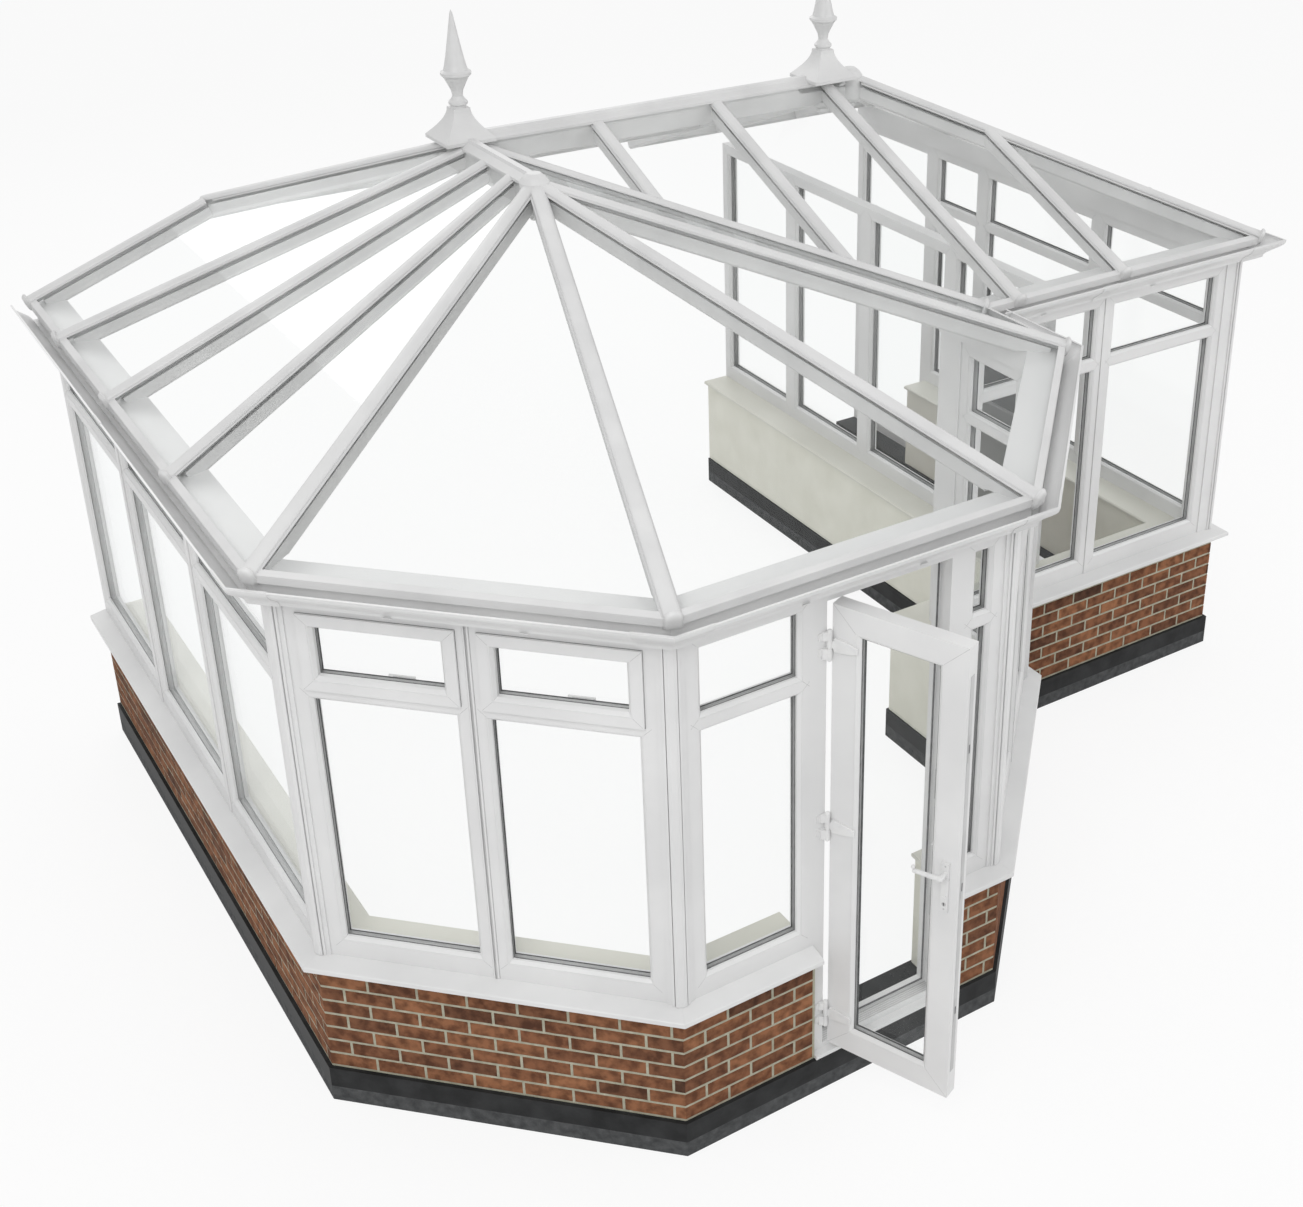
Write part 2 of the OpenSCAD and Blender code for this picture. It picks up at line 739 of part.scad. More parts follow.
module ridge() {
    color(upvc) placed() ridge_solid();
}

hip_feet = [bay_left, front_left, front_right, bay_right];

module hip_bars(over = eaves_over) {
    for (q = hip_feet) bar_between(lift(q, eaves_z), lift(apex, ridge_z), over);
    bar_between(lift(wing_front, eaves_z), lift(wing_apex, ridge_z), over);
    bar_between(lift(wing_back, eaves_z), lift(wing_apex, ridge_z), 0);
    bar_between(lift(knee, knee_z), lift(hub, ridge_z), 0);
}

// Notch in the foot of a hip where it bears on the beam
module foot_notch(q, top, depth) {
    on_run(q, top) translate([-depth, -bar_w, head_z]) cube([2 * depth, 2 * bar_w, beam_top - head_z]);
}

module hips() {
    slant_notch = 1.3 * beam_in + bar_w / 2;
    square_notch = 1.7 * beam_in + bar_w / 2;
    color(upvc) placed() difference() {
        hip_bars();
        ridge_solid();
        for (q = hip_feet) foot_notch(q, apex, slant_notch);
        for (q = [wing_front, wing_back]) foot_notch(q, wing_apex, square_notch);
        house_side();
    }
}

module valley_bar(over = eaves_over) {
    bar_between(lift(inner_corner, eaves_z), lift(hub, ridge_z), over);
}

module valley() {
    color(upvc) placed() difference() {
        valley_bar();
        ridge_solid();
        beam_seat(beam_out + gutter_t + 1);
    }
}

// Everything behind the two planes of the house wall
module house_side() {
    far = 6000;
    translate([-far, house_y, 0]) cube([far + step_x, far, far]);
    translate([-far, back_y, 0]) cube([3 * far, far, far]);
}

// Keeps only what stands over an area of the plan
module over_plan(pts) {
    intersection() {
        children();
        linear_extrude(2 * ridge_z) polygon(pts);
    }
}

past_eaves = 200;
left_area = [bay_back - [past_eaves, 0], knee, hub, apex, bay_left, bay_left - [past_eaves, 0]];
front_area = [hub, inner_corner, inner_corner - [0, past_eaves], wing_front - [0, past_eaves], wing_front,
    wing_apex];
back_area = [hub, knee, [step_x, house_y], [step_x, back_y], wing_back, wing_apex];
end_area = [wing_apex, wing_front, wing_front + [past_eaves, 0], wing_back + [past_eaves, 0], wing_back];

// The house wall's line moved in to the middle of the bars along it
wall_in = cap_w / 2;
knee_in = knee + (hub - knee) * wall_in / (house_y - hub[1]);
wing_back_in = wing_back + (wing_apex - wing_back) * wall_in / back_run;
step_top_in = [step_x + wall_in, house_y - wall_in];
step_foot_in = [step_x + wall_in, back_y - wall_in];

// Bars along the house: down the left slope, along both planes and down the step
module wall_bar_set() {
    over_plan(left_area)
        slope_bar(bay_back, bay_left, side_run, bay_back - [0, wall_in], knee - [0, wall_in], eaves_over);
    over_plan(back_area) {
        slope_bar(wing_back, [step_x, back_y], back_run, knee_in + [web_w, 0], step_top_in, 0);
        slope_bar(wing_back, [step_x, back_y], back_run, [step_foot_in[0], back_y], step_top_in, 0);
        slope_bar(wing_back, [step_x, back_y], back_run, wing_back_in - [web_w, 0], step_foot_in, 0);
    }
}

module wall_bars() {
    color(upvc) placed() difference() {
        wall_bar_set();
        hip_bars();
        beam_seat();
        house_side();
    }
}

// Rafters: a fan on the left slope, and rows square to the eaves round the wing
fan_feet = [0.808, 0.555, 0.285];
fan_tops = [0.86, 0.55, 0.22];
wing_bar_in = 898;
wing_pitch = 662;
back_pitch = 580;
end_pitch = 780;

module left_fan() {
    for (i = [0:2])
        slope_bar(bay_back, bay_left, side_run, bay_left + [0, side_w * fan_feet[i]],
            apex + [0, (hub[1] - apex[1]) * fan_tops[i]], eaves_over);
}

function wing_top(x) =
    x > wing_apex[0] ? inner_corner[1] + wing_run * (wing_front[0] - x) / wing_hip_in : hub[1];
function wing_foot(x) =
    x > step_x ? inner_corner[1] : inner_corner[1] + wing_run * (step_x - x) / side_run;
function back_top(x) = x > wing_apex[0] ? back_y - back_run * (wing_front[0] - x) / wing_hip_in : hub[1];
function back_foot(x) = x > step_top_in[0] ? back_y - wall_in : house_y - wall_in;

wing_rows = [for (k = [0:3]) wing_front[0] - wing_bar_in - k * wing_pitch];
back_rows = [for (k = [-2:2]) step_top_in[0] + k * back_pitch];

module front_row() {
    over_plan(front_area)
        for (x = wing_rows)
            slope_bar(inner_corner, wing_front, wing_run, [x, wing_foot(x)], [x, wing_top(x)],
                x > step_x ? eaves_over : 0);
}

module back_row() {
    over_plan(back_area)
        for (x = back_rows)
            slope_bar(wing_back, [step_x, back_y], back_run, [x, back_foot(x)], [x, back_top(x)], 0);
}

function end_top(y) =
    y < hub[1] ? wing_front[0] - wing_hip_in * (y - wing_front[1]) / wing_run
    : wing_front[0] - wing_hip_in * (back_y - y) / back_run;

// Row on the slope over the wing's end wall
module end_row() {
    over_plan(end_area)
        for (y = [hub[1] - end_pitch, hub[1], hub[1] + end_pitch])
            slope_bar(wing_front, wing_back, wing_hip_in, [wing_front[0], y], [end_top(y), y], eaves_over);
}

module rafter_bars() {
    left_fan();
    front_row();
    back_row();
    end_row();
}

// Upright slices down the middle of the hips and the valley, where rafters and panes end
module hip_cores(w = web_w) {
    before = 2 * eaves_over;
    for (e = concat([for (q = hip_feet) [q, apex]],
        [[wing_front, wing_apex], [wing_back, wing_apex], [inner_corner, hub], [knee, hub]]))
        on_run(e[0], e[1]) translate([-before, -w / 2, eaves_z - cap_w])
            cube([span(e[0], e[1]) + before, w, roof_rise + 2 * cap_w]);
}

module rafters() {
    color(upvc) placed() difference() {
        rafter_bars();
        ridge_solid();
        hip_bars();
        valley_bar();
        hip_cores();
        beam_seat();
        wall_bar_set();
    }
}

// Plan point where a slope's side line, carried on past its foot, meets the overhanging edge
function past(foot, top, run) = foot - (top - foot) * eaves_over / run;

module bay_sheets() {
    sheet(bay_back, bay_left, side_run,
        [bay_back - [eaves_over, wall_in], past(bay_left, apex, side_run), apex, hub, knee_in]);
    sheet(bay_left, front_left, slant_run,
        [past(bay_left, apex, slant_run), past(front_left, apex, slant_run), apex]);
    sheet(front_left, front_right, front_run,
        [past(front_left, apex, front_run), past(front_right, apex, front_run), apex]);
    sheet(front_right, bay_right, slant_run,
        [past(front_right, apex, slant_run), past(bay_right, apex, slant_run), apex]);
    sheet(bay_right, inner_corner, side_run,
        [past(bay_right, apex, side_run), past(inner_corner, hub, side_run), hub, apex]);
}

module wing_sheets() {
    sheet(inner_corner, wing_front, wing_run,
        [past(inner_corner, hub, wing_run), past(wing_front, wing_apex, wing_run), wing_apex, hub]);
    sheet(wing_front, wing_back, wing_hip_in,
        [past(wing_front, wing_apex, wing_hip_in), wing_back + [eaves_over, 0], wing_back, wing_apex]);
    sheet(wing_back, [step_x, back_y], back_run,
        [wing_back_in, step_foot_in, step_top_in, knee_in, hub, wing_apex]);
}

// All that the panes are cut round
module pane_cuts() {
    ridge_solid();
    hip_bars(2 * eaves_over);
    valley_bar(2 * eaves_over);
    hip_cores(slot_w);
    let ($cut = "slots") {
        rafter_bars();
        wall_bar_set();
    }
    let ($cut = "ends") {
        hip_bars();
        valley_bar();
    }
}

module roof_glass_bay() {
    color(clear_glass) placed() difference() {
        bay_sheets();
        pane_cuts();
    }
}

module roof_glass_wing() {
    color(clear_glass) placed() difference() {
        wing_sheets();
        pane_cuts();
    }
}

// Square bell that straddles the ridge, the meeting of its outline drawn both ways
foot_z = ridge_z + 24 * ridge_s;
module bell() {
    wide = 122 * foot_rise / 150;
    neck = 40 * finial_h / 440;
    skirt = 16 * foot_rise / 150;
    steps = 8;
    curve = [for (k = [0:steps]) [neck + (wide - neck) * (1 - sin(90 * k / steps)),
        skirt + (foot_rise - skirt) * k / steps]];
    outline = concat([[wide, 0]], curve);
    both = concat(outline, [for (k = [len(outline) - 1:-1:0]) [-outline[k][0], outline[k][1]]]);
    intersection() {
        translate([-wide, 0, 0]) drawn(2 * wide) polygon(both);
        rotate(90) translate([-wide, 0, 0]) drawn(2 * wide) polygon(both);
    }
}

// Turned part: ring, neck, goblet with a wide flange, and a slender cone
module turned() {
    s = finial_h / 440;
    rotate_extrude() polygon([[0, -10], [36 * s, -10], [36 * s, 8 * s], [44 * s, 16 * s], [44 * s, 26 * s],
        [34 * s, 36 * s], [24 * s, 52 * s], [28 * s, 78 * s], [44 * s, 112 * s], [58 * s, 138 * s],
        [70 * s, 150 * s], [70 * s, 162 * s], [56 * s, 170 * s], [50 * s, 190 * s], [40 * s, 236 * s],
        [22 * s, 336 * s], [6 * s, 428 * s], [0, 440 * s]]);
}

module finials() {
    color(upvc) placed() difference() {
        for (q = finial_places) translate([q[0], q[1], foot_z]) {
            bell();
            translate([0, 0, foot_rise]) turned();
        }
        ridge_solid();
    }
}

footing();
plinth();
brick_leaf(bay_path);  // brick_bay
brick_leaf(wing_path);  // brick_wing
brick_leaf(screen_path);  // brick_screen
lining(bay_path);  // lining_bay
lining(wing_path);  // lining_wing
lining(screen_path);  // lining_screen
sill(bay_path);  // sill_bay
sill(wing_path);  // sill_wing
sill(screen_top_path);  // sill_screen
board(bay_path);  // board_bay
board(wing_path);  // board_wing
board(screen_top_path);  // board_screen
corner_posts();
window_left();
window_left_corner();
window_front();
window_front_narrow();
window_right_corner();
window_return();
window_wing_front();
window_wing_end();
side_light();
screen_frame();
sashes();
glass_bay();
glass_wing();
glass_screen();
door_frame();
frame_hinges();
door_leaf();
leaf_hinges();
door_glass();
door_handles();
eaves_beam();
gutter();
ridge();
hips();
valley();
rafters();
wall_bars();
roof_glass_bay();
roof_glass_wing();
finials();
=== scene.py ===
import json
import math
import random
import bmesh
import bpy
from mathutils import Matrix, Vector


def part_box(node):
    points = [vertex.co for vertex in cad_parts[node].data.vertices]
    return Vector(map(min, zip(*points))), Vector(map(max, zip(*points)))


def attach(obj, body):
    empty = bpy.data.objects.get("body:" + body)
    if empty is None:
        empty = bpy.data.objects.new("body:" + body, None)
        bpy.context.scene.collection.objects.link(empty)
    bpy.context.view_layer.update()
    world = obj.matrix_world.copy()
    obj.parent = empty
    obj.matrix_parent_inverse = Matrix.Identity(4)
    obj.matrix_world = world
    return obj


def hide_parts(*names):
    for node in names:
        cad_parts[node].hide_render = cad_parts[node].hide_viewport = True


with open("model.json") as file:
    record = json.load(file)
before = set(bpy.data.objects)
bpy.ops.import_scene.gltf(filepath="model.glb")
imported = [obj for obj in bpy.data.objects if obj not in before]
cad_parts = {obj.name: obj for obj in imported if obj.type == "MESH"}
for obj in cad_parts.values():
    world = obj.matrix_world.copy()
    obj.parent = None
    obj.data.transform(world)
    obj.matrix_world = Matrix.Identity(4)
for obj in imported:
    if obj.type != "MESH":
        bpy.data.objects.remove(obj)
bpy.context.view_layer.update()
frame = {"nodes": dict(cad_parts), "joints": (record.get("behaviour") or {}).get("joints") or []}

# %% [markdown]
# A conservatory is a light room put together from a few trades' work. Bricklayers build a low wall,
# window makers bring white frames with sealed panes, and roofers set glazed bars on an eaves beam.
# This lesson adds to the plain solids what each trade leaves visible: single bricks in mortar, glazing
# beads and rubber seals, gutter unions, hinge covers, handles and the marks of making.
# All lengths below are in millimetres in the plan's own frame, which starts at the bay's front left
# brick corner, because a builder measures from a corner of the wall and not from the middle of a room.

MM = 0.001
building = "building"
door = "door"
nodes = frame["nodes"]

front_w, corner_w, side_w, return_w, wing_w, house_step = 1500.0, 1440.0, 3050.0, 560.0, 1800.0, 780.0
wall_t, screen_out = 230.0, 808.0
corner_run = corner_w * math.cos(math.radians(45))
bay_back = (-corner_run, corner_run + side_w)
bay_left = (-corner_run, corner_run)
front_left = (0.0, 0.0)
front_right = (front_w, 0.0)
bay_right = (front_w + corner_run, corner_run)
inner_corner = (bay_right[0], bay_right[1] + return_w)
wing_front = (inner_corner[0] + wing_w, inner_corner[1])
house_y = bay_back[1]
wing_house = (wing_front[0], house_y)
wing_back = (wing_front[0], house_y + house_step)

low_corner, high_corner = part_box("footing")
door_place = [j for j in frame["joints"] if j["name"] == "door_hinge"][0]["pos_m"]
hinge_line = (642.5, 6.0)
mid = (hinge_line[0] - door_place[0] / MM, hinge_line[1] - door_place[1] / MM)
print("plan frame middle, mm:", [round(v, 1) for v in mid])
print("footing, m:", [round(v, 3) for v in low_corner], [round(v, 3) for v in high_corner])

# %% [markdown]
# A wall is easiest to work on from its own outside face: so far along it, so far in and so far up.
# A small class turns such places into points of the part's frame, and every brick, bead and seal
# below is placed in a wall's own lengths. The same lines then serve a slanting wall and a straight
# one, and no piece has to be turned by hand.

# %% Points of the plan and of a wall
def place(x, y, z):
    """A point of the plan frame, as metres in the part's frame."""
    return ((x - mid[0]) * MM, (y - mid[1]) * MM, z * MM)


class Run:
    """A wall seen from outside: s along it, d inward from the brick face, z up."""

    def __init__(self, a, b):
        self.a = a
        self.length = math.dist(a, b)
        self.h = ((b[0] - a[0]) / self.length, (b[1] - a[1]) / self.length)

    def __call__(self, s, d, z):
        hx, hy = self.h
        return place(self.a[0] + s * hx - d * hy, self.a[1] + s * hy + d * hx, z)


left_run = Run(bay_back, bay_left)
left_corner_run = Run(bay_left, front_left)
front_run = Run(front_left, front_right)
right_corner_run = Run(front_right, bay_right)
return_run = Run(bay_right, inner_corner)
wing_run = Run(inner_corner, wing_front)
end_run = Run(wing_front, wing_house)
side_run = Run(wing_house, wing_back)
screen_x = wing_front[0] - wall_t - screen_out
screen_path = [(screen_x, inner_corner[1] + wall_t), (screen_x, wing_back[1])]
screen_run = Run(*screen_path)
far_run = Run(wing_front, wing_back)
print("wall runs, mm:", [round(r.length) for r in (left_run, left_corner_run, front_run, wing_run, end_run)])

# %% [markdown]
# Most pieces here are long bars with one section, so one small helper collects points and faces
# and turns them into a mesh. It also keeps a number for each face, which a finish can read to give
# every brick its own shade.

# %% A helper that collects faces into a piece
class Soup:
    """Points and faces that become one piece."""

    def __init__(self):
        self.points = []
        self.faces = []
        self.tones = []

    def add(self, points, faces, tone=0.0):
        n = len(self.points)
        self.points.extend(points)
        self.faces.extend([tuple(i + n for i in f) for f in faces])
        self.tones.extend([tone] * len(faces))

    def prism(self, ends, tone=0.0):
        """A bar between two or more equal outlines."""
        m = len(ends[0])
        points = [p for e in ends for p in e]
        faces = [tuple(range(m - 1, -1, -1)), tuple(range((len(ends) - 1) * m, len(ends) * m))]
        for k in range(len(ends) - 1):
            for i in range(m):
                j = (i + 1) % m
                faces.append((k * m + i, k * m + j, (k + 1) * m + j, (k + 1) * m + i))
        self.add(points, faces, tone)

    def block(self, fn, s0, s1, d0, d1, z0, z1, tone=0.0):
        """A plain block in a wall's own frame."""
        low = [fn(s, d, z0) for s, d in ((s0, d0), (s1, d0), (s1, d1), (s0, d1))]
        high = [fn(s, d, z1) for s, d in ((s0, d0), (s1, d0), (s1, d1), (s0, d1))]
        self.prism([low, high], tone)

    def made(self, name, finish, body, slot, smooth=False):
        """The finished piece, riding on a body."""
        mesh = bpy.data.meshes.new(name)
        mesh.from_pydata(self.points, [], self.faces)
        bm = bmesh.new()
        bm.from_mesh(mesh)
        layer = bm.faces.layers.float.new("tone")
        bm.faces.ensure_lookup_table()
        for f, t in zip(bm.faces, self.tones):
            f[layer] = t
            f.smooth = smooth
        bmesh.ops.recalc_face_normals(bm, faces=bm.faces)
        bm.to_mesh(mesh)
        bm.free()
        mesh.materials.append(finish)
        o = bpy.data.objects.new(name, mesh)
        bpy.context.scene.collection.objects.link(o)
        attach(o, body)
        print(name, "has", len(mesh.polygons), "faces")
        return o


# %% [markdown]
# Finishes come next. White window plastic is smooth, a little soft in its shine and never quite
# one shade. Brick is baked clay with darker burnt patches. Mortar is pale and sandy, with a faint
# green cast. Each finish is worked out from noise in the piece's own space, so that it stays on
# the piece when the door moves.

# %% Helpers for finishes
def new_finish(name):
    """An empty finish and the tree for its nodes."""
    m = bpy.data.materials.new(name)
    m.use_nodes = True
    return m, m.node_tree


def node(tree, kind, settings=()):
    """A node of a tree, with some of its inputs set."""
    n = tree.nodes.new("ShaderNode" + kind)
    for key, value in dict(settings).items():
        n.inputs[key].default_value = value
    return n


def output_of(tree):
    return [n for n in tree.nodes if n.type == "OUTPUT_MATERIAL"][0].inputs["Surface"]


def noise(tree, scale, detail=2.0):
    """Noise in the piece's own space."""
    n = node(tree, "TexNoise", {"Scale": scale, "Detail": detail})
    tree.links.new(node(tree, "TexCoord").outputs["Object"], n.inputs["Vector"])
    return n.outputs["Fac"]


def shades(tree, source, stops):
    """A blend of colours that a source between 0 and 1 picks from."""
    ramp = node(tree, "ValToRGB")
    elements = ramp.color_ramp.elements
    for k, (at, colour) in enumerate(stops):
        e = elements[0] if k == 0 else elements[-1] if k == len(stops) - 1 else elements.new(at)
        e.position = at
        e.color = (*colour, 1)
    tree.links.new(source, ramp.inputs["Fac"])
    return ramp.outputs["Color"]


def relief(tree, shader, scale, detail, strength, depth):
    """Fine bumps made by noise."""
    n = node(tree, "Bump", {"Strength": strength, "Distance": depth})
    tree.links.new(noise(tree, scale, detail), n.inputs["Height"])
    tree.links.new(n.outputs["Normal"], shader.inputs["Normal"])


def finish(name, dark, light, rough, scale=8.0, detail=4.0, bump=0.0, bump_scale=60.0, spread=(0.35, 0.65),
           rough_spread=0.08, metallic=0.0, gloss=0.5):
    """A surface whose shade, shine and relief vary with noise."""
    m, t = new_finish(name)
    b = t.nodes["Principled BSDF"]
    b.inputs["Metallic"].default_value = metallic
    b.inputs["Specular IOR Level"].default_value = gloss
    cloud = noise(t, scale, detail)
    t.links.new(shades(t, cloud, ((spread[0], dark), (spread[1], light))), b.inputs["Base Color"])
    shine = node(t, "MapRange", {"To Min": rough - rough_spread, "To Max": min(1.0, rough + rough_spread)})
    t.links.new(cloud, shine.inputs["Value"])
    t.links.new(shine.outputs["Result"], b.inputs["Roughness"])
    if bump:
        relief(t, b, bump_scale, 6, 0.6, bump)
    return m


# %% [markdown]
# Each stuff that the trades bring now gets its finish: two near shades with noise to pick between
# them, a roughness, and a little relief where the real surface is rough. The whites are not all
# one, because the roof's bars have weathered to a slightly greyer shade than the window frames.

# %% The plain finishes
white = finish("white_frame", (0.7, 0.7, 0.7), (0.76, 0.76, 0.758), 0.34, 2.5, 3, 0.0002, 30)
roof_white = finish("white_roof_bar", (0.64, 0.64, 0.64), (0.71, 0.71, 0.708), 0.42, 3.5, 3, 0.0001, 40)
board_cream = finish("cream_board", (0.66, 0.655, 0.585), (0.72, 0.715, 0.65), 0.34, 2, 3, 0.0001, 20)
# The black of the rubber seals, and also painted shade in the keyhole and the lock's bolt slots.
rubber = finish("seal_rubber_and_slot_shade", (0.1, 0.102, 0.104), (0.17, 0.172, 0.175), 0.6, 40, 4, 0.0002, 300)
# A grey for the weld lines, and also painted shade for the grooves beside the coupling strips.
joint_shade = finish("weld_line_and_groove_shade", (0.42, 0.42, 0.42), (0.52, 0.52, 0.52), 0.6, 30, 3)
gasket_grey = finish("roof_gasket", (0.58, 0.58, 0.58), (0.64, 0.64, 0.64), 0.7, 3, 2, rough_spread=0.02)
metal_white = finish("white_powder_coat", (0.7, 0.7, 0.7), (0.77, 0.77, 0.765), 0.3, 14, 3, 0.0001, 400)
steel = finish("satin_steel", (0.52, 0.52, 0.52), (0.6, 0.6, 0.6), 0.42, 5, 3, rough_spread=0.03,
               metallic=1.0)
plaster = finish("cream_plaster", (0.76, 0.755, 0.67), (0.82, 0.815, 0.735), 0.75, 5, 5, 0.0006, 90)
paint_black = finish("plinth_paint", (0.014, 0.0145, 0.015), (0.032, 0.033, 0.034), 0.55, 9, 6, 0.001, 70,
                     gloss=0.15)
concrete = finish("footing_concrete", (0.05, 0.052, 0.054), (0.105, 0.108, 0.11), 0.85, 26, 8, 0.003, 120,
                  (0.3, 0.7), gloss=0.15)
mortar = finish("mortar", (0.34, 0.33, 0.25), (0.48, 0.465, 0.37), 0.95, 34, 8, 0.003, 240, (0.3, 0.7),
                gloss=0.15)
print("plain finishes made")

# %% [markdown]
# Clay bricks differ from one another, since each had its own place in the kiln. The finish reads
# the number kept on each brick's faces and picks a shade between a dull purple brown and a warm
# red. Cloudy noise then darkens patches of one brick, and fine noise gives the sanded face.

# %% The brick finish
def brick_finish():
    m, t = new_finish("clay_brick")
    b = t.nodes["Principled BSDF"]
    own = node(t, "Attribute")
    own.attribute_name = "tone"
    fired = shades(t, own.outputs["Fac"], (
        (0.0, (0.095, 0.047, 0.029)), (0.2, (0.16, 0.073, 0.041)), (0.5, (0.215, 0.094, 0.049)),
        (0.75, (0.255, 0.114, 0.058)), (1.0, (0.3, 0.136, 0.068))))
    burnt = shades(t, noise(t, 22, 6), ((0.36, (0.5, 0.46, 0.46)), (0.62, (1.12, 1.1, 1.08))))
    mix = node(t, "Mix")
    mix.data_type = "RGBA"
    mix.blend_type = "MULTIPLY"
    mix.inputs["Factor"].default_value = 1
    t.links.new(fired, mix.inputs["A"])
    t.links.new(burnt, mix.inputs["B"])
    t.links.new(mix.outputs["Result"], b.inputs["Base Color"])
    b.inputs["Roughness"].default_value = 0.9
    b.inputs["Specular IOR Level"].default_value = 0.2
    relief(t, b, 260, 5, 0.7, 0.002)
    return m


clay = brick_finish()
print("brick finish made")

# %% [markdown]
# Sealed panes are almost invisible from in front and mirror the sky at a glancing view. The finish
# lets light straight through with a trace of green, and adds a reflection that grows with the
# angle to the fifth power, as a real pane's does. Facing gives the angle on both faces of a pane
# alike, so the light that leaves through the back face isn't turned into a false mirror.

# %% The glass finishes
def glass_finish(name, tint_low, tint_high, least, most):
    m, t = new_finish(name)
    t.nodes.remove(t.nodes["Principled BSDF"])
    clear = node(t, "BsdfTransparent")
    t.links.new(shades(t, noise(t, 1.4), ((0.0, tint_low), (1.0, tint_high))), clear.inputs["Color"])
    shine = node(t, "BsdfGlossy", {"Roughness": 0.02, "Color": (0.96, 0.98, 0.98, 1)})
    angle = node(t, "LayerWeight", {"Blend": 0.5})
    fifth = node(t, "Math")
    fifth.operation = "POWER"
    fifth.inputs[1].default_value = 5.0
    share = node(t, "MapRange", {"To Min": least, "To Max": most})
    mix = node(t, "MixShader")
    t.links.new(angle.outputs["Facing"], fifth.inputs[0])
    t.links.new(fifth.outputs["Value"], share.inputs["Value"])
    t.links.new(share.outputs["Result"], mix.inputs["Fac"])
    t.links.new(clear.outputs["BSDF"], mix.inputs[1])
    t.links.new(shine.outputs["BSDF"], mix.inputs[2])
    t.links.new(mix.outputs["Shader"], output_of(t))
    return m


wall_glass = glass_finish("clear_pane", (0.99, 0.993, 0.992), (0.996, 0.998, 0.997), 0.014, 0.5)
roof_glass = glass_finish("clear_roof_pane", (0.992, 0.995, 0.994), (0.997, 0.999, 0.998), 0.01, 0.35)
print("glass finishes made")

# %% [markdown]
# The solids that stay as they are get their finish here. The brick leaves are not in the list,
# because real bricks and mortar take their place below.

# %% Finishes of the plain solids
finish_of = {
    "footing": concrete, "plinth": paint_black, "ridge": roof_white, "hips": roof_white,
    "valley": roof_white, "rafters": roof_white, "wall_bars": roof_white, "finials": roof_white,
    "door_handles": metal_white, "frame_hinges": metal_white, "leaf_hinges": metal_white,
}
for name, o in nodes.items():
    if name.startswith("lining"):
        m = plaster
    elif name.startswith("board"):
        m = board_cream
    elif name.startswith("roof_glass"):
        m = roof_glass
    elif "glass" in name:
        m = wall_glass
    else:
        m = finish_of.get(name, white)
    o.data.materials.clear()
    o.data.materials.append(m)
print("finished", len(nodes), "solids")

# %% [markdown]
# The outer leaf is laid in stretcher bond: each brick shows its long side and covers the joint
# below by half. A metric brick shows 190 by 57 mm here with a 10 mm joint, so eight courses and
# their beds of mortar fill the height from the plinth to the sill. At each corner the bricks are
# cut to the angle, so courses run round it level.
# The faces are not flat: every brick has a few tenths of a millimetre of wave, worn edges and its
# own small tilt. So a brick is a small grid of points and not a plain block, and the light catches
# each one a little differently.

# %% One brick
plinth_h, brick_top = 165.0, 701.0
courses, course, brick_h, brick_l, joint = 8, 67.0, 57.0, 190.0, 10.0
worn_in, hidden_in = 2.8, 14.0
rng = random.Random(71)
print("brickwork, mm high:", courses * course, "to the sill:", brick_top - plinth_h)


def one_brick(soup, fn, s0, s1, z0, z1):
    """One brick's visible side as a wavy shallow block with worn edges."""
    tone = min(1.0, max(0.0, rng.gauss(0.55, 0.24)))
    out = rng.uniform(-0.6, 0.9)
    turn = rng.uniform(-0.004, 0.004)
    nip = 2.2
    cols, rows = max(2, round((s1 - s0) / 38)), 3
    points, faces = [], []
    for j in range(rows + 1):
        for i in range(cols + 1):
            u, v = i / cols, j / rows
            edge_s = nip if i == 0 else -nip if i == cols else rng.uniform(-2, 2)
            edge_z = nip if j == 0 else -nip if j == rows else rng.uniform(-2, 2)
            s = s0 + (s1 - s0) * u + edge_s + (rng.uniform(-0.6, 0.6) if i in (0, cols) else 0)
            z = z0 + (z1 - z0) * v + edge_z + (rng.uniform(-0.6, 0.6) if j in (0, rows) else 0)
            d = max(0.05, 0.9 - out + turn * (s - s0) + rng.uniform(-0.35, 0.35))
            points.append(fn(s, d, z))
    w = cols + 1
    for j in range(rows):
        for i in range(cols):
            a = j * w + i
            faces.append((a, a + 1, a + w + 1, a + w))
    rim = list(range(w)) + [j * w + cols for j in range(1, rows + 1)]
    rim += [rows * w + i for i in range(cols - 1, -1, -1)] + [j * w for j in range(rows - 1, 0, -1)]
    side = []
    for k in rim:
        i, j = k % w, k // w
        side.append((s0 + (s1 - s0) * i / cols, z0 + (z1 - z0) * j / rows))
    worn = len(points)
    points += [fn(s, worn_in, z) for s, z in side]
    back = len(points)
    points += [fn(s, hidden_in, z) for s, z in side]
    m = len(rim)
    for k in range(m):
        n = (k + 1) % m
        faces.append((rim[k], worn + k, worn + n, rim[n]))
        faces.append((worn + k, back + k, back + n, worn + n))
    faces.append(tuple(back + k for k in range(m)))
    soup.add(points, faces, tone)


# %% [markdown]
# Courses are laid from a wall's first end. Every other course starts with half a brick, so that
# the upright joints never stand in line, and the last brick is cut to what is left. At a corner of
# the building the bricks run right to it. At the house and the doorway they stop a joint short.

# %% Courses along a wall
shortest_cut, least_piece = 40, 20


def brick_wall(soup, fn, s0, s1, first_end, last_end):
    """Courses of stretcher bond along a run, with a whole or half brick first in turn."""
    for k in range(courses):
        z0 = plinth_h + joint + k * course
        z1 = z0 + brick_h
        s = s0 + (0 if first_end else joint)
        first = brick_l if k % 2 == 0 else brick_l / 2 - joint / 2
        ends = [s + first]
        while ends[-1] + joint + brick_l < s1 - shortest_cut:
            ends.append(ends[-1] + joint + brick_l)
        starts = [s] + [e + joint for e in ends]
        ends.append(s1 if last_end else s1 - joint)
        for a, b in zip(starts, ends):
            if b - a > least_piece:
                one_brick(soup, fn, a, b, z0, z1)


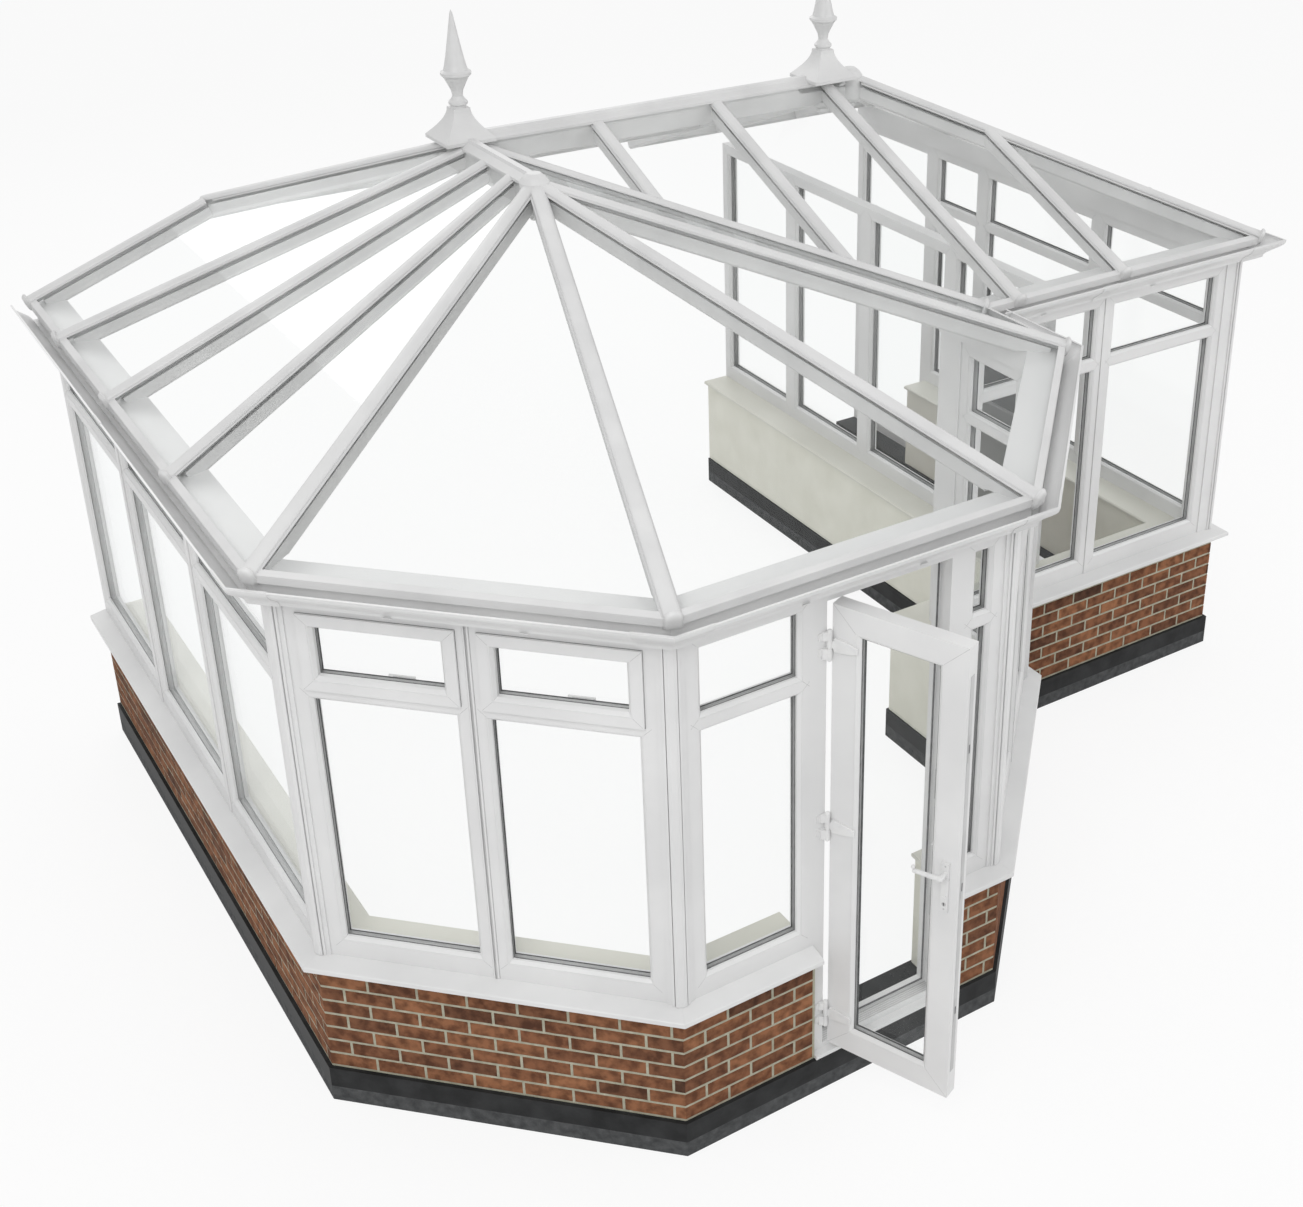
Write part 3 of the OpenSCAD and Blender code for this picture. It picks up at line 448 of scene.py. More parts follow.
# %% [markdown]
# The mortar is one bed that lies a couple of millimetres behind the bricks' faces and fills the
# leaf to its back. It follows the walls round their corners, so a helper works out where a line at
# a given distance outside a path of walls has its turns.

# %% A bed that follows the walls
bed_in, leaf_back = 2.6, 102.0


def band_points(path, d):
    """Corners of a line that follows a path of walls at a distance outside them."""
    pts = []
    for i in range(len(path)):
        ns = []
        for a, b in ((i - 1, i), (i, i + 1)):
            if a >= 0 and b < len(path):
                (x0, y0), (x1, y1) = path[a], path[b]
                n = math.dist(path[a], path[b])
                ns.append(((y1 - y0) / n, (x0 - x1) / n))
        if len(ns) == 1:
            m = ns[0]
        else:
            k = 1 + ns[0][0] * ns[1][0] + ns[0][1] * ns[1][1]
            m = ((ns[0][0] + ns[1][0]) / k, (ns[0][1] + ns[1][1]) / k)
        pts.append((path[i][0] + d * m[0], path[i][1] + d * m[1]))
    return pts


def band(soup, path, d0, d1, z0, z1):
    """A strip that follows a path of walls, a length for each wall."""
    a, b = band_points(path, d0), band_points(path, d1)
    for i in range(len(path) - 1):
        plan = (a[i], a[i + 1], b[i + 1], b[i])
        soup.prism([[place(x, y, z0) for x, y in plan], [place(x, y, z1) for x, y in plan]])


# %% [markdown]
# Brickwork stands in three stretches: round the bay to the doorway, from the doorway round the
# wing, and under the screen inside. In each, the real bricks and mortar take the place of the
# plain leaf.

# %% The brick walls
door_from, door_to = 590.0, 1243.0
bay_path = [bay_back, bay_left, front_left, (door_from, 0.0)]
wing_path = [(door_to, 0.0), front_right, bay_right, inner_corner, wing_front, wing_house]
walls = {
    "bay": (bay_path, [(left_run, 0, left_run.length, 0, 1), (left_corner_run, 0, corner_w, 1, 1),
                       (front_run, 0, door_from, 1, 0)]),
    "wing": (wing_path, [(front_run, door_to, front_w, 0, 1), (right_corner_run, 0, corner_w, 1, 1),
                         (return_run, 0, return_w, 1, 1), (wing_run, 0, wing_w, 1, 1),
                         (end_run, 0, end_run.length, 1, 0)]),
    "screen": (screen_path, [(screen_run, 0, screen_run.length, 0, 0)]),
}
for part, (path, runs) in walls.items():
    bricks, bed = Soup(), Soup()
    for fn, s0, s1, first_end, last_end in runs:
        brick_wall(bricks, fn, s0, s1, first_end, last_end)
    band(bed, path, -bed_in, -leaf_back, plinth_h + 0.2, brick_top - 0.2)
    o = bricks.made("bricks_" + part, clay, building, "brickwork")
    bed.made("mortar_" + part, mortar, building, "brickwork")
    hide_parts("brick_" + part)

# %% [markdown]
# Each sealed pane is held by a glazing bead, a slim clip-in bar with a sloping face, mitred at its
# four corners. A black rubber seal shows as a thin line between bead and glass, inside and out.
# All of them are bars of one section that run round the inside of a light, so one helper makes
# them from the section's outline: how far in from the light's edge, and how far in from the wall.

# %% Sections of the beads and seals
frame_back, frame_d, frame_w, foot_w, mullion_w = 20.0, 70.0, 52.0, 76.0, 94.0
head_z, transom_z, transom_w, sill_z, post_w = 2290.0, 1925.0, 40.0, 726.0, 58.0
square_post_w = frame_back + frame_d + 18.0
low_top, high_foot = transom_z - transom_w / 2, transom_z + transom_w / 2
light_foot, light_head = sill_z + foot_w, head_z - frame_w
sash_w, sash_out = 32.0, 12.0
outer_bead = [(0.0, 21.5), (3.0, 21.0), (5.0, 21.6), (15.0, 30.5), (16.0, 32.5), (16.0, 41.6), (0.0, 41.6)]
outer_seal = [(12.0, 41.7), (17.6, 41.7), (18.4, 42.3), (18.4, 42.9), (12.0, 42.9)]
inner_bead = [(0.0, 88.5), (3.0, 89.0), (5.0, 88.4), (13.0, 79.5), (14.0, 77.5), (14.0, 68.5), (0.0, 68.5)]
inner_seal = [(11.0, 68.3), (15.6, 68.3), (16.2, 67.8), (16.2, 67.1), (11.0, 67.1)]


def framed(soup, fn, rect, section, gap=0.25):
    """Four mitred bars of one section round the inside of a light."""
    x0, x1, z0, z1 = rect
    for side in range(4):
        first, last = [], []
        for inset, d in section:
            a, b = x0 + inset, x1 - inset
            c, e = z0 + inset, z1 - inset
            corners = ((a, c), (b, c), (b, e), (a, e))
            p, q = corners[side], corners[(side + 1) % 4]
            n = math.dist(p, q)
            g = ((q[0] - p[0]) / n * gap, (q[1] - p[1]) / n * gap)
            first.append(fn(p[0] + g[0], d, p[1] + g[1]))
            last.append(fn(q[0] - g[0], d, q[1] - g[1]))
        soup.prism([first, last])


# %% [markdown]
# Posts divide each wall's frame into lights, and where these stand follows from the widths of the
# frame, the posts and the mullions. A light is kept as its wall, its two upright edges, and its
# lower and upper edge. Most walls have a lower and an upper row with a transom between them.

# %% Where the lights are
def light_edges(x0, x1, posts, w=mullion_w):
    """Edges of the lights between posts, as the frames have them."""
    middles = [x0 + frame_w - w / 2] + posts + [x1 - frame_w + w / 2]
    return [(a + w / 2, b - w / 2) for a, b in zip(middles, middles[1:])]


def even(x0, x1, n):
    return [x0 + (x1 - x0) * i / n for i in range(1, n)]


sashes = []
lights = {}
lights["left"] = [(left_run, e, z) for e in light_edges(0, side_w - post_w, even(0, side_w - post_w, 3))
                  for z in ((light_foot, low_top), (high_foot, light_head))]
for key, fn in (("left_corner", left_corner_run), ("right_corner", right_corner_run)):
    edges = light_edges(post_w, corner_w - post_w, [corner_w / 2])
    lights[key] = [(fn, e, (light_foot, low_top)) for e in edges]
    sashes += [(fn, e) for e in edges]
for key, x0, x1 in (("front", post_w, door_from), ("front_narrow", door_to, front_w - post_w)):
    lights[key] = [(front_run, e, z) for e in light_edges(x0, x1, [])
                   for z in ((light_foot, low_top), (high_foot, light_head))]
lights["return"] = [(return_run, e, z) for e in light_edges(post_w, return_w - post_w, [])
                    for z in ((light_foot, low_top), (high_foot, light_head))]
wing_mid = (post_w + wing_w - square_post_w) / 2
lights["wing_front"] = [(wing_run, e, z) for e in light_edges(post_w, wing_w - square_post_w, [wing_mid])
                        for z in ((light_foot, low_top), (high_foot, light_head))]
lights["wing_end"] = [(end_run, e, z) for e in light_edges(square_post_w, end_run.length, [1000.0, 2000.0])
                      for z in ((light_foot, low_top), (high_foot, light_head))]
lights["side_light"] = [(side_run, e, (plinth_h + foot_w, light_head))
                        for e in light_edges(0, house_step, [])]
lights["screen"] = [(screen_run, e, (light_foot, light_head))
                    for e in light_edges(0, screen_run.length, even(0, screen_run.length, 4))]
print("fixed lights:", sum(len(group) for group in lights.values()), "opening lights:", len(sashes))

# %% [markdown]
# Window frames are welded at their corners, which leaves a fine diagonal line. It is a thin raised
# strip here, because a line drawn by a finish would blur. Every fixed light now gets its beads and
# seals on both faces and its weld lines, joined to one piece of each kind for a wall.

# %% Beads, seals and weld lines of the fixed lights
weld_reach = 30


def weld_lines(soup, fn, rect, reach, d):
    """A fine diagonal at each corner of a light, raised a hair above the frame's face."""
    x0, x1, z0, z1 = rect
    for x, z, dx, dz in ((x0, z0, -1, -1), (x1, z0, 1, -1), (x1, z1, 1, 1), (x0, z1, -1, 1)):
        w = 0.45
        a = (x, z)
        b = (x + dx * reach, z + dz * reach)
        ring = [(a[0] - w * dz, a[1] + w * dx), (a[0] + w * dz, a[1] - w * dx),
                (b[0] + w * dz, b[1] - w * dx), (b[0] - w * dz, b[1] + w * dx)]
        soup.prism([[fn(s, d - 0.12, zz) for s, zz in ring], [fn(s, d + 0.2, zz) for s, zz in ring]])


for key, group in lights.items():
    beads, seals, welds = Soup(), Soup(), Soup()
    for fn, (x0, x1), (z0, z1) in group:
        rect = (x0, x1, z0, z1)
        framed(beads, fn, rect, outer_bead)
        framed(beads, fn, rect, inner_bead)
        framed(seals, fn, rect, outer_seal, 0.0)
        framed(seals, fn, rect, inner_seal, 0.0)
        weld_lines(welds, fn, rect, weld_reach, frame_back)
        weld_lines(welds, fn, rect, weld_reach, frame_back + frame_d + 0.1)
    beads.made("beads_" + key, white, building, "white_upvc")
    seals.made("seals_" + key, rubber, building, "white_upvc")
    welds.made("welds_" + key, joint_shade, building, "white_upvc")

# %% [markdown]
# The upper lights of the slanting sides open. Each is a second frame that laps over the first,
# hung at its top and held by a small handle inside. It has beads and seals of its own, and a soft
# seal where it meets the outer frame.

# %% The opening sashes
beads, seals, welds, grips = Soup(), Soup(), Soup(), Soup()
sash_bead = [(0.0, 9.5), (3.0, 9.0), (5.0, 9.6), (15.0, 22.0), (16.0, 24.0), (16.0, 41.6), (0.0, 41.6)]
sash_inner = [(0.0, 78.5), (3.0, 79.0), (5.0, 78.4), (12.0, 71.5), (13.0, 70.0), (13.0, 68.5), (0.0, 68.5)]
lap_seal = [(-8.6, 17.5), (-7.6, 17.5), (-7.6, 19.9), (-8.6, 19.9)]
for fn, (x0, x1) in sashes:
    hole = (x0, x1, high_foot, light_head)
    rect = (x0 + sash_w, x1 - sash_w, high_foot + sash_w, light_head - sash_w)
    framed(beads, fn, rect, sash_bead)
    framed(beads, fn, rect, sash_inner)
    framed(seals, fn, rect, outer_seal, 0.0)
    framed(seals, fn, rect, inner_seal, 0.0)
    framed(seals, fn, hole, lap_seal, 0.0)
    weld_lines(welds, fn, rect, sash_w + 6, frame_back - sash_out)
    middle = (x0 + x1) / 2
    grips.block(fn, middle - 32, middle + 32, 80.1, 88, high_foot + 12, high_foot + 32)
    grips.block(fn, middle - 8, middle + 8, 88, 104, high_foot + 16, high_foot + 28)
    grips.block(fn, middle - 10, middle + 88, 104, 112, high_foot + 15, high_foot + 29)
beads.made("beads_sashes", white, building, "white_upvc")
seals.made("seals_sashes", rubber, building, "white_upvc")
welds.made("welds_sashes", joint_shade, building, "white_upvc")
grips.made("sash_handles", metal_white, building, "white_metal")

# %% [markdown]
# The door leaf is built like a large sash: welded white bars, a tall pane held by beads, seals,
# and a lever handle on each face. Its free edge carries the steel plate of a lock with several
# bolts, and a thin black sheet over each bolt's slot is painted shade for the slot's depth. The
# leaf stands open, so these pieces are placed in the leaf's own frame, which turns about the hinge
# line.

# %% The door leaf's own details
door_open = math.radians(67)
hinge_gap, axis_out, lock_heights = 2.5, 14.0, (420, 1000, 1600)
leaf_w, leaf_t, stile_w = 540.0, 60.0, 96.0
leaf_z, leaf_top = 212.0, 2232.0


def leaf(s, d, z):
    """A point of the closed leaf, turned open: s from the hinge line, d inward from the leaf's face."""
    x, y = s, d + axis_out
    c, k = math.cos(-door_open), math.sin(-door_open)
    return place(hinge_line[0] + x * c - y * k, hinge_line[1] + x * k + y * c, z)


edge = hinge_gap + leaf_w
pane_rect = (hinge_gap + stile_w, edge - stile_w, leaf_z + stile_w, leaf_top - stile_w)
beads, seals, welds, plates, dark = Soup(), Soup(), Soup(), Soup(), Soup()
leaf_bead = [(0.0, 1.5), (3.0, 1.0), (5.0, 1.6), (16.0, 12.0), (17.0, 13.5), (17.0, 16.5), (0.0, 16.5)]
leaf_seal = [(12.0, 16.6), (19.6, 16.6), (20.4, 17.1), (20.4, 17.9), (12.0, 17.9)]
framed(beads, leaf, pane_rect, leaf_bead)
framed(beads, leaf, pane_rect, [(i, leaf_t - d) for i, d in leaf_bead])
framed(seals, leaf, pane_rect, leaf_seal, 0.0)
framed(seals, leaf, pane_rect, [(i, leaf_t - d) for i, d in leaf_seal], 0.0)
weld_lines(welds, leaf, pane_rect, stile_w - 2, 0.0)
weld_lines(welds, leaf, pane_rect, stile_w - 2, leaf_t + 0.1)
plates.block(leaf, edge, edge + 1.2, 18, 42, leaf_z + 120, leaf_top - 120)
for z in [leaf_z + h for h in lock_heights]:
    plates.block(leaf, edge + 1.2, edge + 2.0, 24, 36, z - 55, z + 55)
    # A thin black sheet over each bolt's slot is painted shade, where the slot's depth would be dark.
    dark.block(leaf, edge + 2.0, edge + 2.2, 26, 34, z - 18, z + 18)
beads.made("beads_leaf", white, door, "white_upvc")
seals.made("seals_leaf", rubber, door, "white_upvc")
welds.made("welds_leaf", joint_shade, door, "white_upvc")
plates.made("lock_edge_plate", steel, door, "white_metal")
dark.made("lock_bolt_slot_shade", rubber, door, "white_metal")

# %% [markdown]
# Round the doorway the outer frame has a rubber seal on its stop, and a threshold strip of bright
# aluminium that takes the wear of feet.

# %% The doorway's seal and threshold
jamb_w, threshold_h = 50.0, 40.0
treads, tread_from, tread_pitch, tread_w, tread_t = 5, 28, 10, 5, 1.6
seals, strip = Soup(), Soup()
hole = (door_from + jamb_w, door_to - jamb_w, plinth_h + threshold_h, head_z - jamb_w)
framed(seals, front_run, hole, [(7.0, 82.0), (13.0, 82.0), (13.0, 85.9), (7.0, 85.9)], 0.0)
for i in range(treads):
    d = tread_from + i * tread_pitch
    strip.block(front_run, hole[0] + 2, hole[1] - 2, d, d + tread_w, hole[2], hole[2] + tread_t)
seals.made("doorway_seal", rubber, building, "white_upvc")
strip.made("threshold_treads", steel, building, "white_metal")

# %% [markdown]
# The door hangs on three flag hinges. What shows of each is a plastic cover: two rounded caps on the
# frame's knuckles, and between them an arm that reaches over the gap and tapers to a chamfered tip
# on the leaf. The caps ride with the frame and the arm with the leaf. The arm is no taller at the
# hinge line than the knuckle it covers, so it passes between the caps as the door turns.

# %% Hinge covers
hinge_h, knuckle_gap, cap_r = 96.0, 0.5, 10.6
knuckle_h = (hinge_h - 2 * knuckle_gap) / 3
leaf_h = leaf_top - leaf_z
arms, caps = Soup(), Soup()


def round_cap(soup, z0, z1, tip, steps=14):
    """An upright round cover on the hinge line, closed by a rounded end above or below."""
    rings = [(z0, cap_r), (z1, cap_r)] if tip > 0 else [(z1, cap_r), (z0, cap_r)]
    end = z1 if tip > 0 else z0
    for k in range(1, 6):
        a = math.pi / 2 * k / 5.2
        rings.append((end + tip * 9 * math.sin(a), cap_r * math.cos(a)))
    turns = [2 * math.pi * i / steps for i in range(steps)]
    soup.prism([[place(hinge_line[0] + r * math.cos(a), hinge_line[1] + r * math.sin(a), z) for a in turns]
                for z, r in rings])


cap_wing = ((-25, 19.4), (-25, 13), (-22, 9.5), (-6, 1.5), (-2, 4), (-2, 19.4))
for share in (0.08, 0.53, 0.92):
    z0 = leaf_z + share * leaf_h - hinge_h / 2
    low, high = z0 + knuckle_h + knuckle_gap, z0 + 2 * knuckle_h + knuckle_gap
    round_cap(caps, z0 - 14, low - 1.0, -1)
    round_cap(caps, high + 1.0, z0 + hinge_h + 6, 1)
    for a, b in ((z0 - 12, low - 1.0), (high + 1.0, z0 + hinge_h + 4)):
        caps.prism([[place(hinge_line[0] + x, y, z) for x, y in cap_wing] for z in (a, b)])
    outline = ((2, -13.5, low + 0.8, high - 0.8), (12, -13.0, low + 0.8, high - 0.8),
               (18, -11.5, low - 14, high + 12), (76, -9.5, low - 7, high + 5),
               (104, -8.0, low + 1, high - 3), (110, -5.0, low + 3, high - 5))
    rings = []
    for x, d, a, b in outline:
        back = -0.2 if x > 14 else -8.0
        rings.append([leaf(x, back, a), leaf(x, d + 1.6, a), leaf(x, d, a + 2.2), leaf(x, d, b - 2.2),
                      leaf(x, d + 1.6, b), leaf(x, back, b)])
    arms.prism(rings)
caps.made("hinge_caps", metal_white, building, "white_metal")
arms.made("hinge_arms", metal_white, door, "white_metal")

# %% [markdown]
# Small metal parts tell that the door works: the keyhole's rim on both handle plates, with a black
# sheet in the keyhole's shape that is painted shade for the hole's depth, the screws that hold these
# plates, and the keeps on the frame that take the bolts.

# %% Keyholes, screws and keeps
rims, hole_shade, keeps = Soup(), Soup(), Soup()
handle_z = leaf_z + 1000
key_s, key_z = edge - stile_w / 2, handle_z - 74


def disc(soup, fn, s, z, d0, d1, r, steps=16):
    """A flat round piece on a face."""
    turns = [2 * math.pi * i / steps for i in range(steps)]
    soup.prism([[fn(s + r * math.cos(a), d, z + r * math.sin(a)) for a in turns] for d in (d0, d1)])


for face, out in ((0.0, -1.0), (leaf_t, 1.0)):
    disc(rims, leaf, key_s, key_z, face + out * 8.5, face + out * 10.6, 8.5)
    # The black disc and bar are painted shade: a thin dark sheet where the keyhole's depth would be dark.
    disc(hole_shade, leaf, key_s, key_z + 3, face + out * 10.4, face + out * 11.0, 3.4)
    near, far = sorted((face + out * 10.4, face + out * 11.0))
    hole_shade.block(leaf, key_s - 1.6, key_s + 1.6, near, far, key_z - 7, key_z + 2)
    for up in (96, -96):
        disc(rims, leaf, key_s, handle_z + up, face + out * 8.5, face + out * 9.6, 3.6)
rims.made("keyhole_rims", steel, door, "white_metal")
hole_shade.made("keyhole_painted_shade", rubber, door, "white_metal")
for z in [leaf_z + h for h in lock_heights]:
    keeps.block(front_run, door_to - jamb_w - 1.6, door_to - jamb_w + 0.2, 40, 64, z - 70, z + 70)
keeps.made("lock_keeps", steel, building, "white_metal")

# %% [markdown]
# Where two walls meet, a bay pole stands between their frames under a faceted cover: two slim
# strips and a narrow flat across the corner. It gives the corner posts their soft upright lines.

# %% Covers of the corner posts
full_path = [bay_back, bay_left, front_left, front_right, bay_right, inner_corner, wing_front, wing_back]


def corner_frame(path, i):
    """Corner point, headings and outward normals of the two walls that meet there."""
    a, c, b = path[i - 1], path[i], path[i + 1]
    n1, n2 = math.dist(a, c), math.dist(c, b)
    h1 = ((c[0] - a[0]) / n1, (c[1] - a[1]) / n1)
    h2 = ((b[0] - c[0]) / n2, (b[1] - c[1]) / n2)
    return c, h1, h2, (h1[1], -h1[0]), (h2[1], -h2[0])


def off(c, n, d, h, s):
    """A plan point at a distance outside a wall and along it from a corner."""
    return (c[0] + n[0] * d + h[0] * s, c[1] + n[1] * d + h[1] * s)


covers = Soup()
for i in range(1, len(full_path) - 1):
    c, h1, h2, n1, n2 = corner_frame(full_path, i)
    if h1[0] * h2[1] - h1[1] * h2[0] < 0:
        continue
    side = [off(c, n1, -8.3, h1, -27), off(c, n1, -4.0, h1, -25.5), off(c, n1, -3.0, h1, -13)]
    other = [off(c, n2, -3.0, h2, 13), off(c, n2, -4.0, h2, 25.5), off(c, n2, -8.3, h2, 27)]
    plan = side + other + [band_points(full_path, -8.3)[i]]
    covers.prism([[place(x, y, z) for x, y in plan] for z in (sill_z + 0.3, head_z - 0.3)])
covers.made("post_covers", white, building, "white_upvc")

# %% [markdown]
# Side by side, two window frames are bolted together through a coupling bar. Outside it shows as a
# slim raised strip up the middle of each mullion, with a dark strip of painted shade on either side
# that stands for the shade in a fine groove.

# %% Coupling strips on the mullions, with painted groove shade beside them
strips, groove_shade_strips = Soup(), Soup()
strip_half, groove_w, hair = 11.0, 1.8, 0.3
section = ((-strip_half, 0.2), (-strip_half, -3.6), (-9.4, -5.0),
           (9.4, -5.0), (strip_half, -3.6), (strip_half, 0.2))
for group in lights.values():
    spans = sorted({edges for wall, edges, heights in group})
    fn = group[0][0]
    low = min(heights[0] for wall, edges, heights in group) - foot_w + hair
    high = head_z - hair
    for (a0, a1), (b0, b1) in zip(spans, spans[1:]):
        m = (a1 + b0) / 2
        strips.prism([[fn(m + w, frame_back + d, z) for w, d in section] for z in (low, high)])
        # Each groove is a thin dark strip of painted shade laid on the frame's face, not a cut.
        for w in (m - strip_half - groove_w, m + strip_half):
            groove_shade_strips.block(fn, w, w + groove_w, frame_back - 0.4, frame_back + 0.2, low, high)
strips.made("coupling_strips", white, building, "white_upvc")
groove_shade_strips.made("coupling_groove_shade", joint_shade, building, "white_upvc")

# %% [markdown]
# The gutter is pushed together from lengths. At every corner an angle piece and on the longer sides
# a straight union slip over its outside, a little thicker than the gutter. A bracket under every
# half metre or so carries its weight.

# %% Gutter unions and brackets
beam_top, gutter_h, gutter_reach = 2402.0, 88.0, 135.9
gutter_back, gutter_flat, swing, rim_in, union_reach, union_t = 27.0, 56.0, 76.0, 126.4, 95.0, 3.0
gutter_z = beam_top - gutter_h
ogee = []
for k in range(11):
    ogee.append((gutter_flat + swing * (1 - math.cos(math.pi * k / 10)) / 2, gutter_z + gutter_h * k / 10))


def union_section(proud):
    """Outline of a union: over the gutter's outside, round its rim, and back along its face."""
    outer = [(min(gutter_reach, d + proud), z - (proud if k == 0 else 0)) for k, (d, z) in enumerate(ogee)]
    rim = [(gutter_reach, beam_top + 7.6), (rim_in, beam_top + 7.6), (rim_in, beam_top + 5.0)]
    inner = [(d - 1.2, z) for d, z in reversed(ogee)]
    return [(gutter_back, gutter_z - proud)] + outer + rim + inner + [(gutter_back, gutter_z + 1)]


unions = Soup()
section = union_section(union_t)
for i in range(1, len(full_path) - 1):
    c, h1, h2, n1, n2 = corner_frame(full_path, i)
    mitre = [band_points(full_path, d)[i] for d, z in section]
    for h, n, way in ((h1, n1, -1), (h2, n2, 1)):
        ends = [off(c, n, d, h, way * union_reach) for d, z in section]
        unions.prism([[place(x, y, z) for (x, y), (d, z) in zip(pts, section)] for pts in (mitre, ends)])


def on_wall(soup, fn, s0, s1, section):
    """A length of one section along the outside of a wall."""
    soup.prism([[fn(s, -d, z) for d, z in section] for s in (s0, s1)])


for fn, at in ((wing_run, 700), (left_run, 1450), (far_run, 1650)):
    on_wall(unions, fn, at, at + 100, section)
unions.made("gutter_unions", roof_white, building, "white_upvc")
brackets = Soup()
bracket = [(26.5, gutter_z - 3.5), (60, gutter_z - 3.5), (66, gutter_z + 4), (60, gutter_z - 0.3),
           (26.5, gutter_z - 0.3)]
bracket_half = 15.0
for fn, places in ((left_run, (500, 1000, 2000, 2500)), (left_corner_run, (480, 960)),
                   (front_run, (500, 1000)), (right_corner_run, (480, 960)), (wing_run, (400, 1100)),
                   (far_run, (500, 1100, 2200, 2800))):
    for at in places:
        on_wall(brackets, fn, at - bracket_half, at + bracket_half, bracket)
brackets.made("gutter_brackets", white, building, "white_upvc")

# %% [markdown]
# Now the roof. To lay gaskets and trims on its glass, each slope is kept as its eaves line and its
# run, which is the level distance from the eaves to the ridge. The height of the glass is then
# known over every point of the plan, and a piece can be planned flat and lifted onto the slope.

# %% The roof's slopes
eaves_z, ridge_z, pane_up = 2430.0, 3090.0, 12.0
front_reach, wing_reach, end_reach = 2400.0, 1572.0, 1384.0
roof_rise = ridge_z - eaves_z
apex = (front_w / 2, front_reach)
hub = (front_w / 2, inner_corner[1] + wing_reach)
wing_apex = (wing_front[0] - end_reach, hub[1])
step_x, back_y = inner_corner[0], wing_back[1]
side_reach = front_w / 2 + corner_run
back_reach = back_y - hub[1]
knee_z = ridge_z - (house_y - hub[1]) * roof_rise / back_reach
knee = (-corner_run + side_reach * (knee_z - eaves_z) / roof_rise, house_y)


class Slope:
    """A plane of glass over an eaves line, with its height over any point of the plan."""

    def __init__(self, a, b, run):
        self.a, self.run = a, run
        n = math.dist(a, b)
        self.h = ((b[0] - a[0]) / n, (b[1] - a[1]) / n)
        self.up = (-self.h[1], self.h[0])
        self.steep = math.hypot(run, roof_rise) / run

    def z(self, x, y, above=0.0):
        t = (x - self.a[0]) * self.up[0] + (y - self.a[1]) * self.up[1]
        return eaves_z + roof_rise * t / self.run + above * self.steep

    def point(self, s, t, above):
        x = self.a[0] + self.h[0] * s + self.up[0] * t
        y = self.a[1] + self.h[1] * s + self.up[1] * t
        return place(x, y, self.z(x, y, above))


left_slope = Slope(bay_back, bay_left, side_reach)
left_slant = Slope(bay_left, front_left, (apex[0] + apex[1]) * math.cos(math.radians(45)))
front_slope = Slope(front_left, front_right, front_reach)
right_slant = Slope(front_right, bay_right, left_slant.run)
return_slope = Slope(bay_right, inner_corner, side_reach)
wing_slope = Slope(inner_corner, wing_front, wing_reach)
end_slope = Slope(wing_front, wing_back, end_reach)
back_slope = Slope(wing_back, (step_x, back_y), back_reach)
print("height where the roof meets the house's corner, mm:", round(knee_z))

# %% [markdown]
# Glazing bars climb from the eaves, the valley or the house to the ridge or a hip, and the hips and
# the valley are bars too. The left slope's bars spread a little like a fan, and the others between
# the hips run square to their eaves. Each bar is kept as its foot and top on the plan and the
# slopes on its two sides.

# %% Where the glazing bars run
def wing_top(x):
    """Where a bar of the wing's front slope ends: on the ridge, or on the hip beyond the finial."""
    past_hip = x > wing_apex[0]
    return inner_corner[1] + wing_reach * (wing_front[0] - x) / end_reach if past_hip else hub[1]


def wing_foot(x):
    """Where it starts: on the eaves, or on the valley."""
    return inner_corner[1] if x > step_x else inner_corner[1] + wing_reach * (step_x - x) / side_reach


def back_top(x):
    """Where a bar of the back slope ends."""
    return back_y - back_reach * (wing_front[0] - x) / end_reach if x > wing_apex[0] else hub[1]


def end_top(y):
    """Where a bar of the end slope ends, on one of its two hips."""
    if y < hub[1]:
        return wing_front[0] - end_reach * (y - wing_front[1]) / wing_reach
    return wing_front[0] - end_reach * (back_y - y) / back_reach


wall_in, wing_first, wing_pitch, back_pitch, end_pitch = 30.0, 898.0, 662.0, 580.0, 780.0
fan = ((0.808, 0.86), (0.555, 0.55), (0.285, 0.22))
bars = []
for foot, top, lean_left, lean_right in (
        (bay_left, apex, left_slope, left_slant), (front_left, apex, left_slant, front_slope),
        (front_right, apex, front_slope, right_slant), (bay_right, apex, right_slant, return_slope),
        (inner_corner, hub, return_slope, wing_slope), (wing_front, wing_apex, wing_slope, end_slope)):
    bars.append((foot, top, lean_left, lean_right, True, True))
bars.append((wing_back, wing_apex, end_slope, back_slope, False, True))
bars.append((knee, hub, back_slope, left_slope, False, True))
for a, b in fan:
    bars.append(((bay_left[0], bay_left[1] + side_w * a), (apex[0], apex[1] + (hub[1] - apex[1]) * b),
                 left_slope, left_slope, True, False))
for x in [wing_front[0] - wing_first - k * wing_pitch for k in range(4)]:
    bars.append(((x, wing_foot(x)), (x, wing_top(x)), wing_slope, wing_slope, x > step_x, False))
for x in [step_x + wall_in + k * back_pitch for k in range(-2, 3)]:
    foot_y = back_y - wall_in if x > step_x + wall_in - 1 else house_y - wall_in
    bars.append(((x, foot_y), (x, back_top(x)), back_slope, back_slope, False, False))
for y in (hub[1] - end_pitch, hub[1], hub[1] + end_pitch):
    bars.append(((wing_front[0], y), (end_top(y), y), end_slope, end_slope, True, False))
bars.append(((bay_back[0], house_y - wall_in), (knee[0], house_y - wall_in), left_slope, left_slope,
             True, False))
print("roof bars:", len(bars))

# %% [markdown]
# Every glazing bar is sealed to the panes by a soft pale gasket along both edges of its cap. It is
# a low rounded strip, tight against the cap, and its upper end stops at the cap that crosses it.

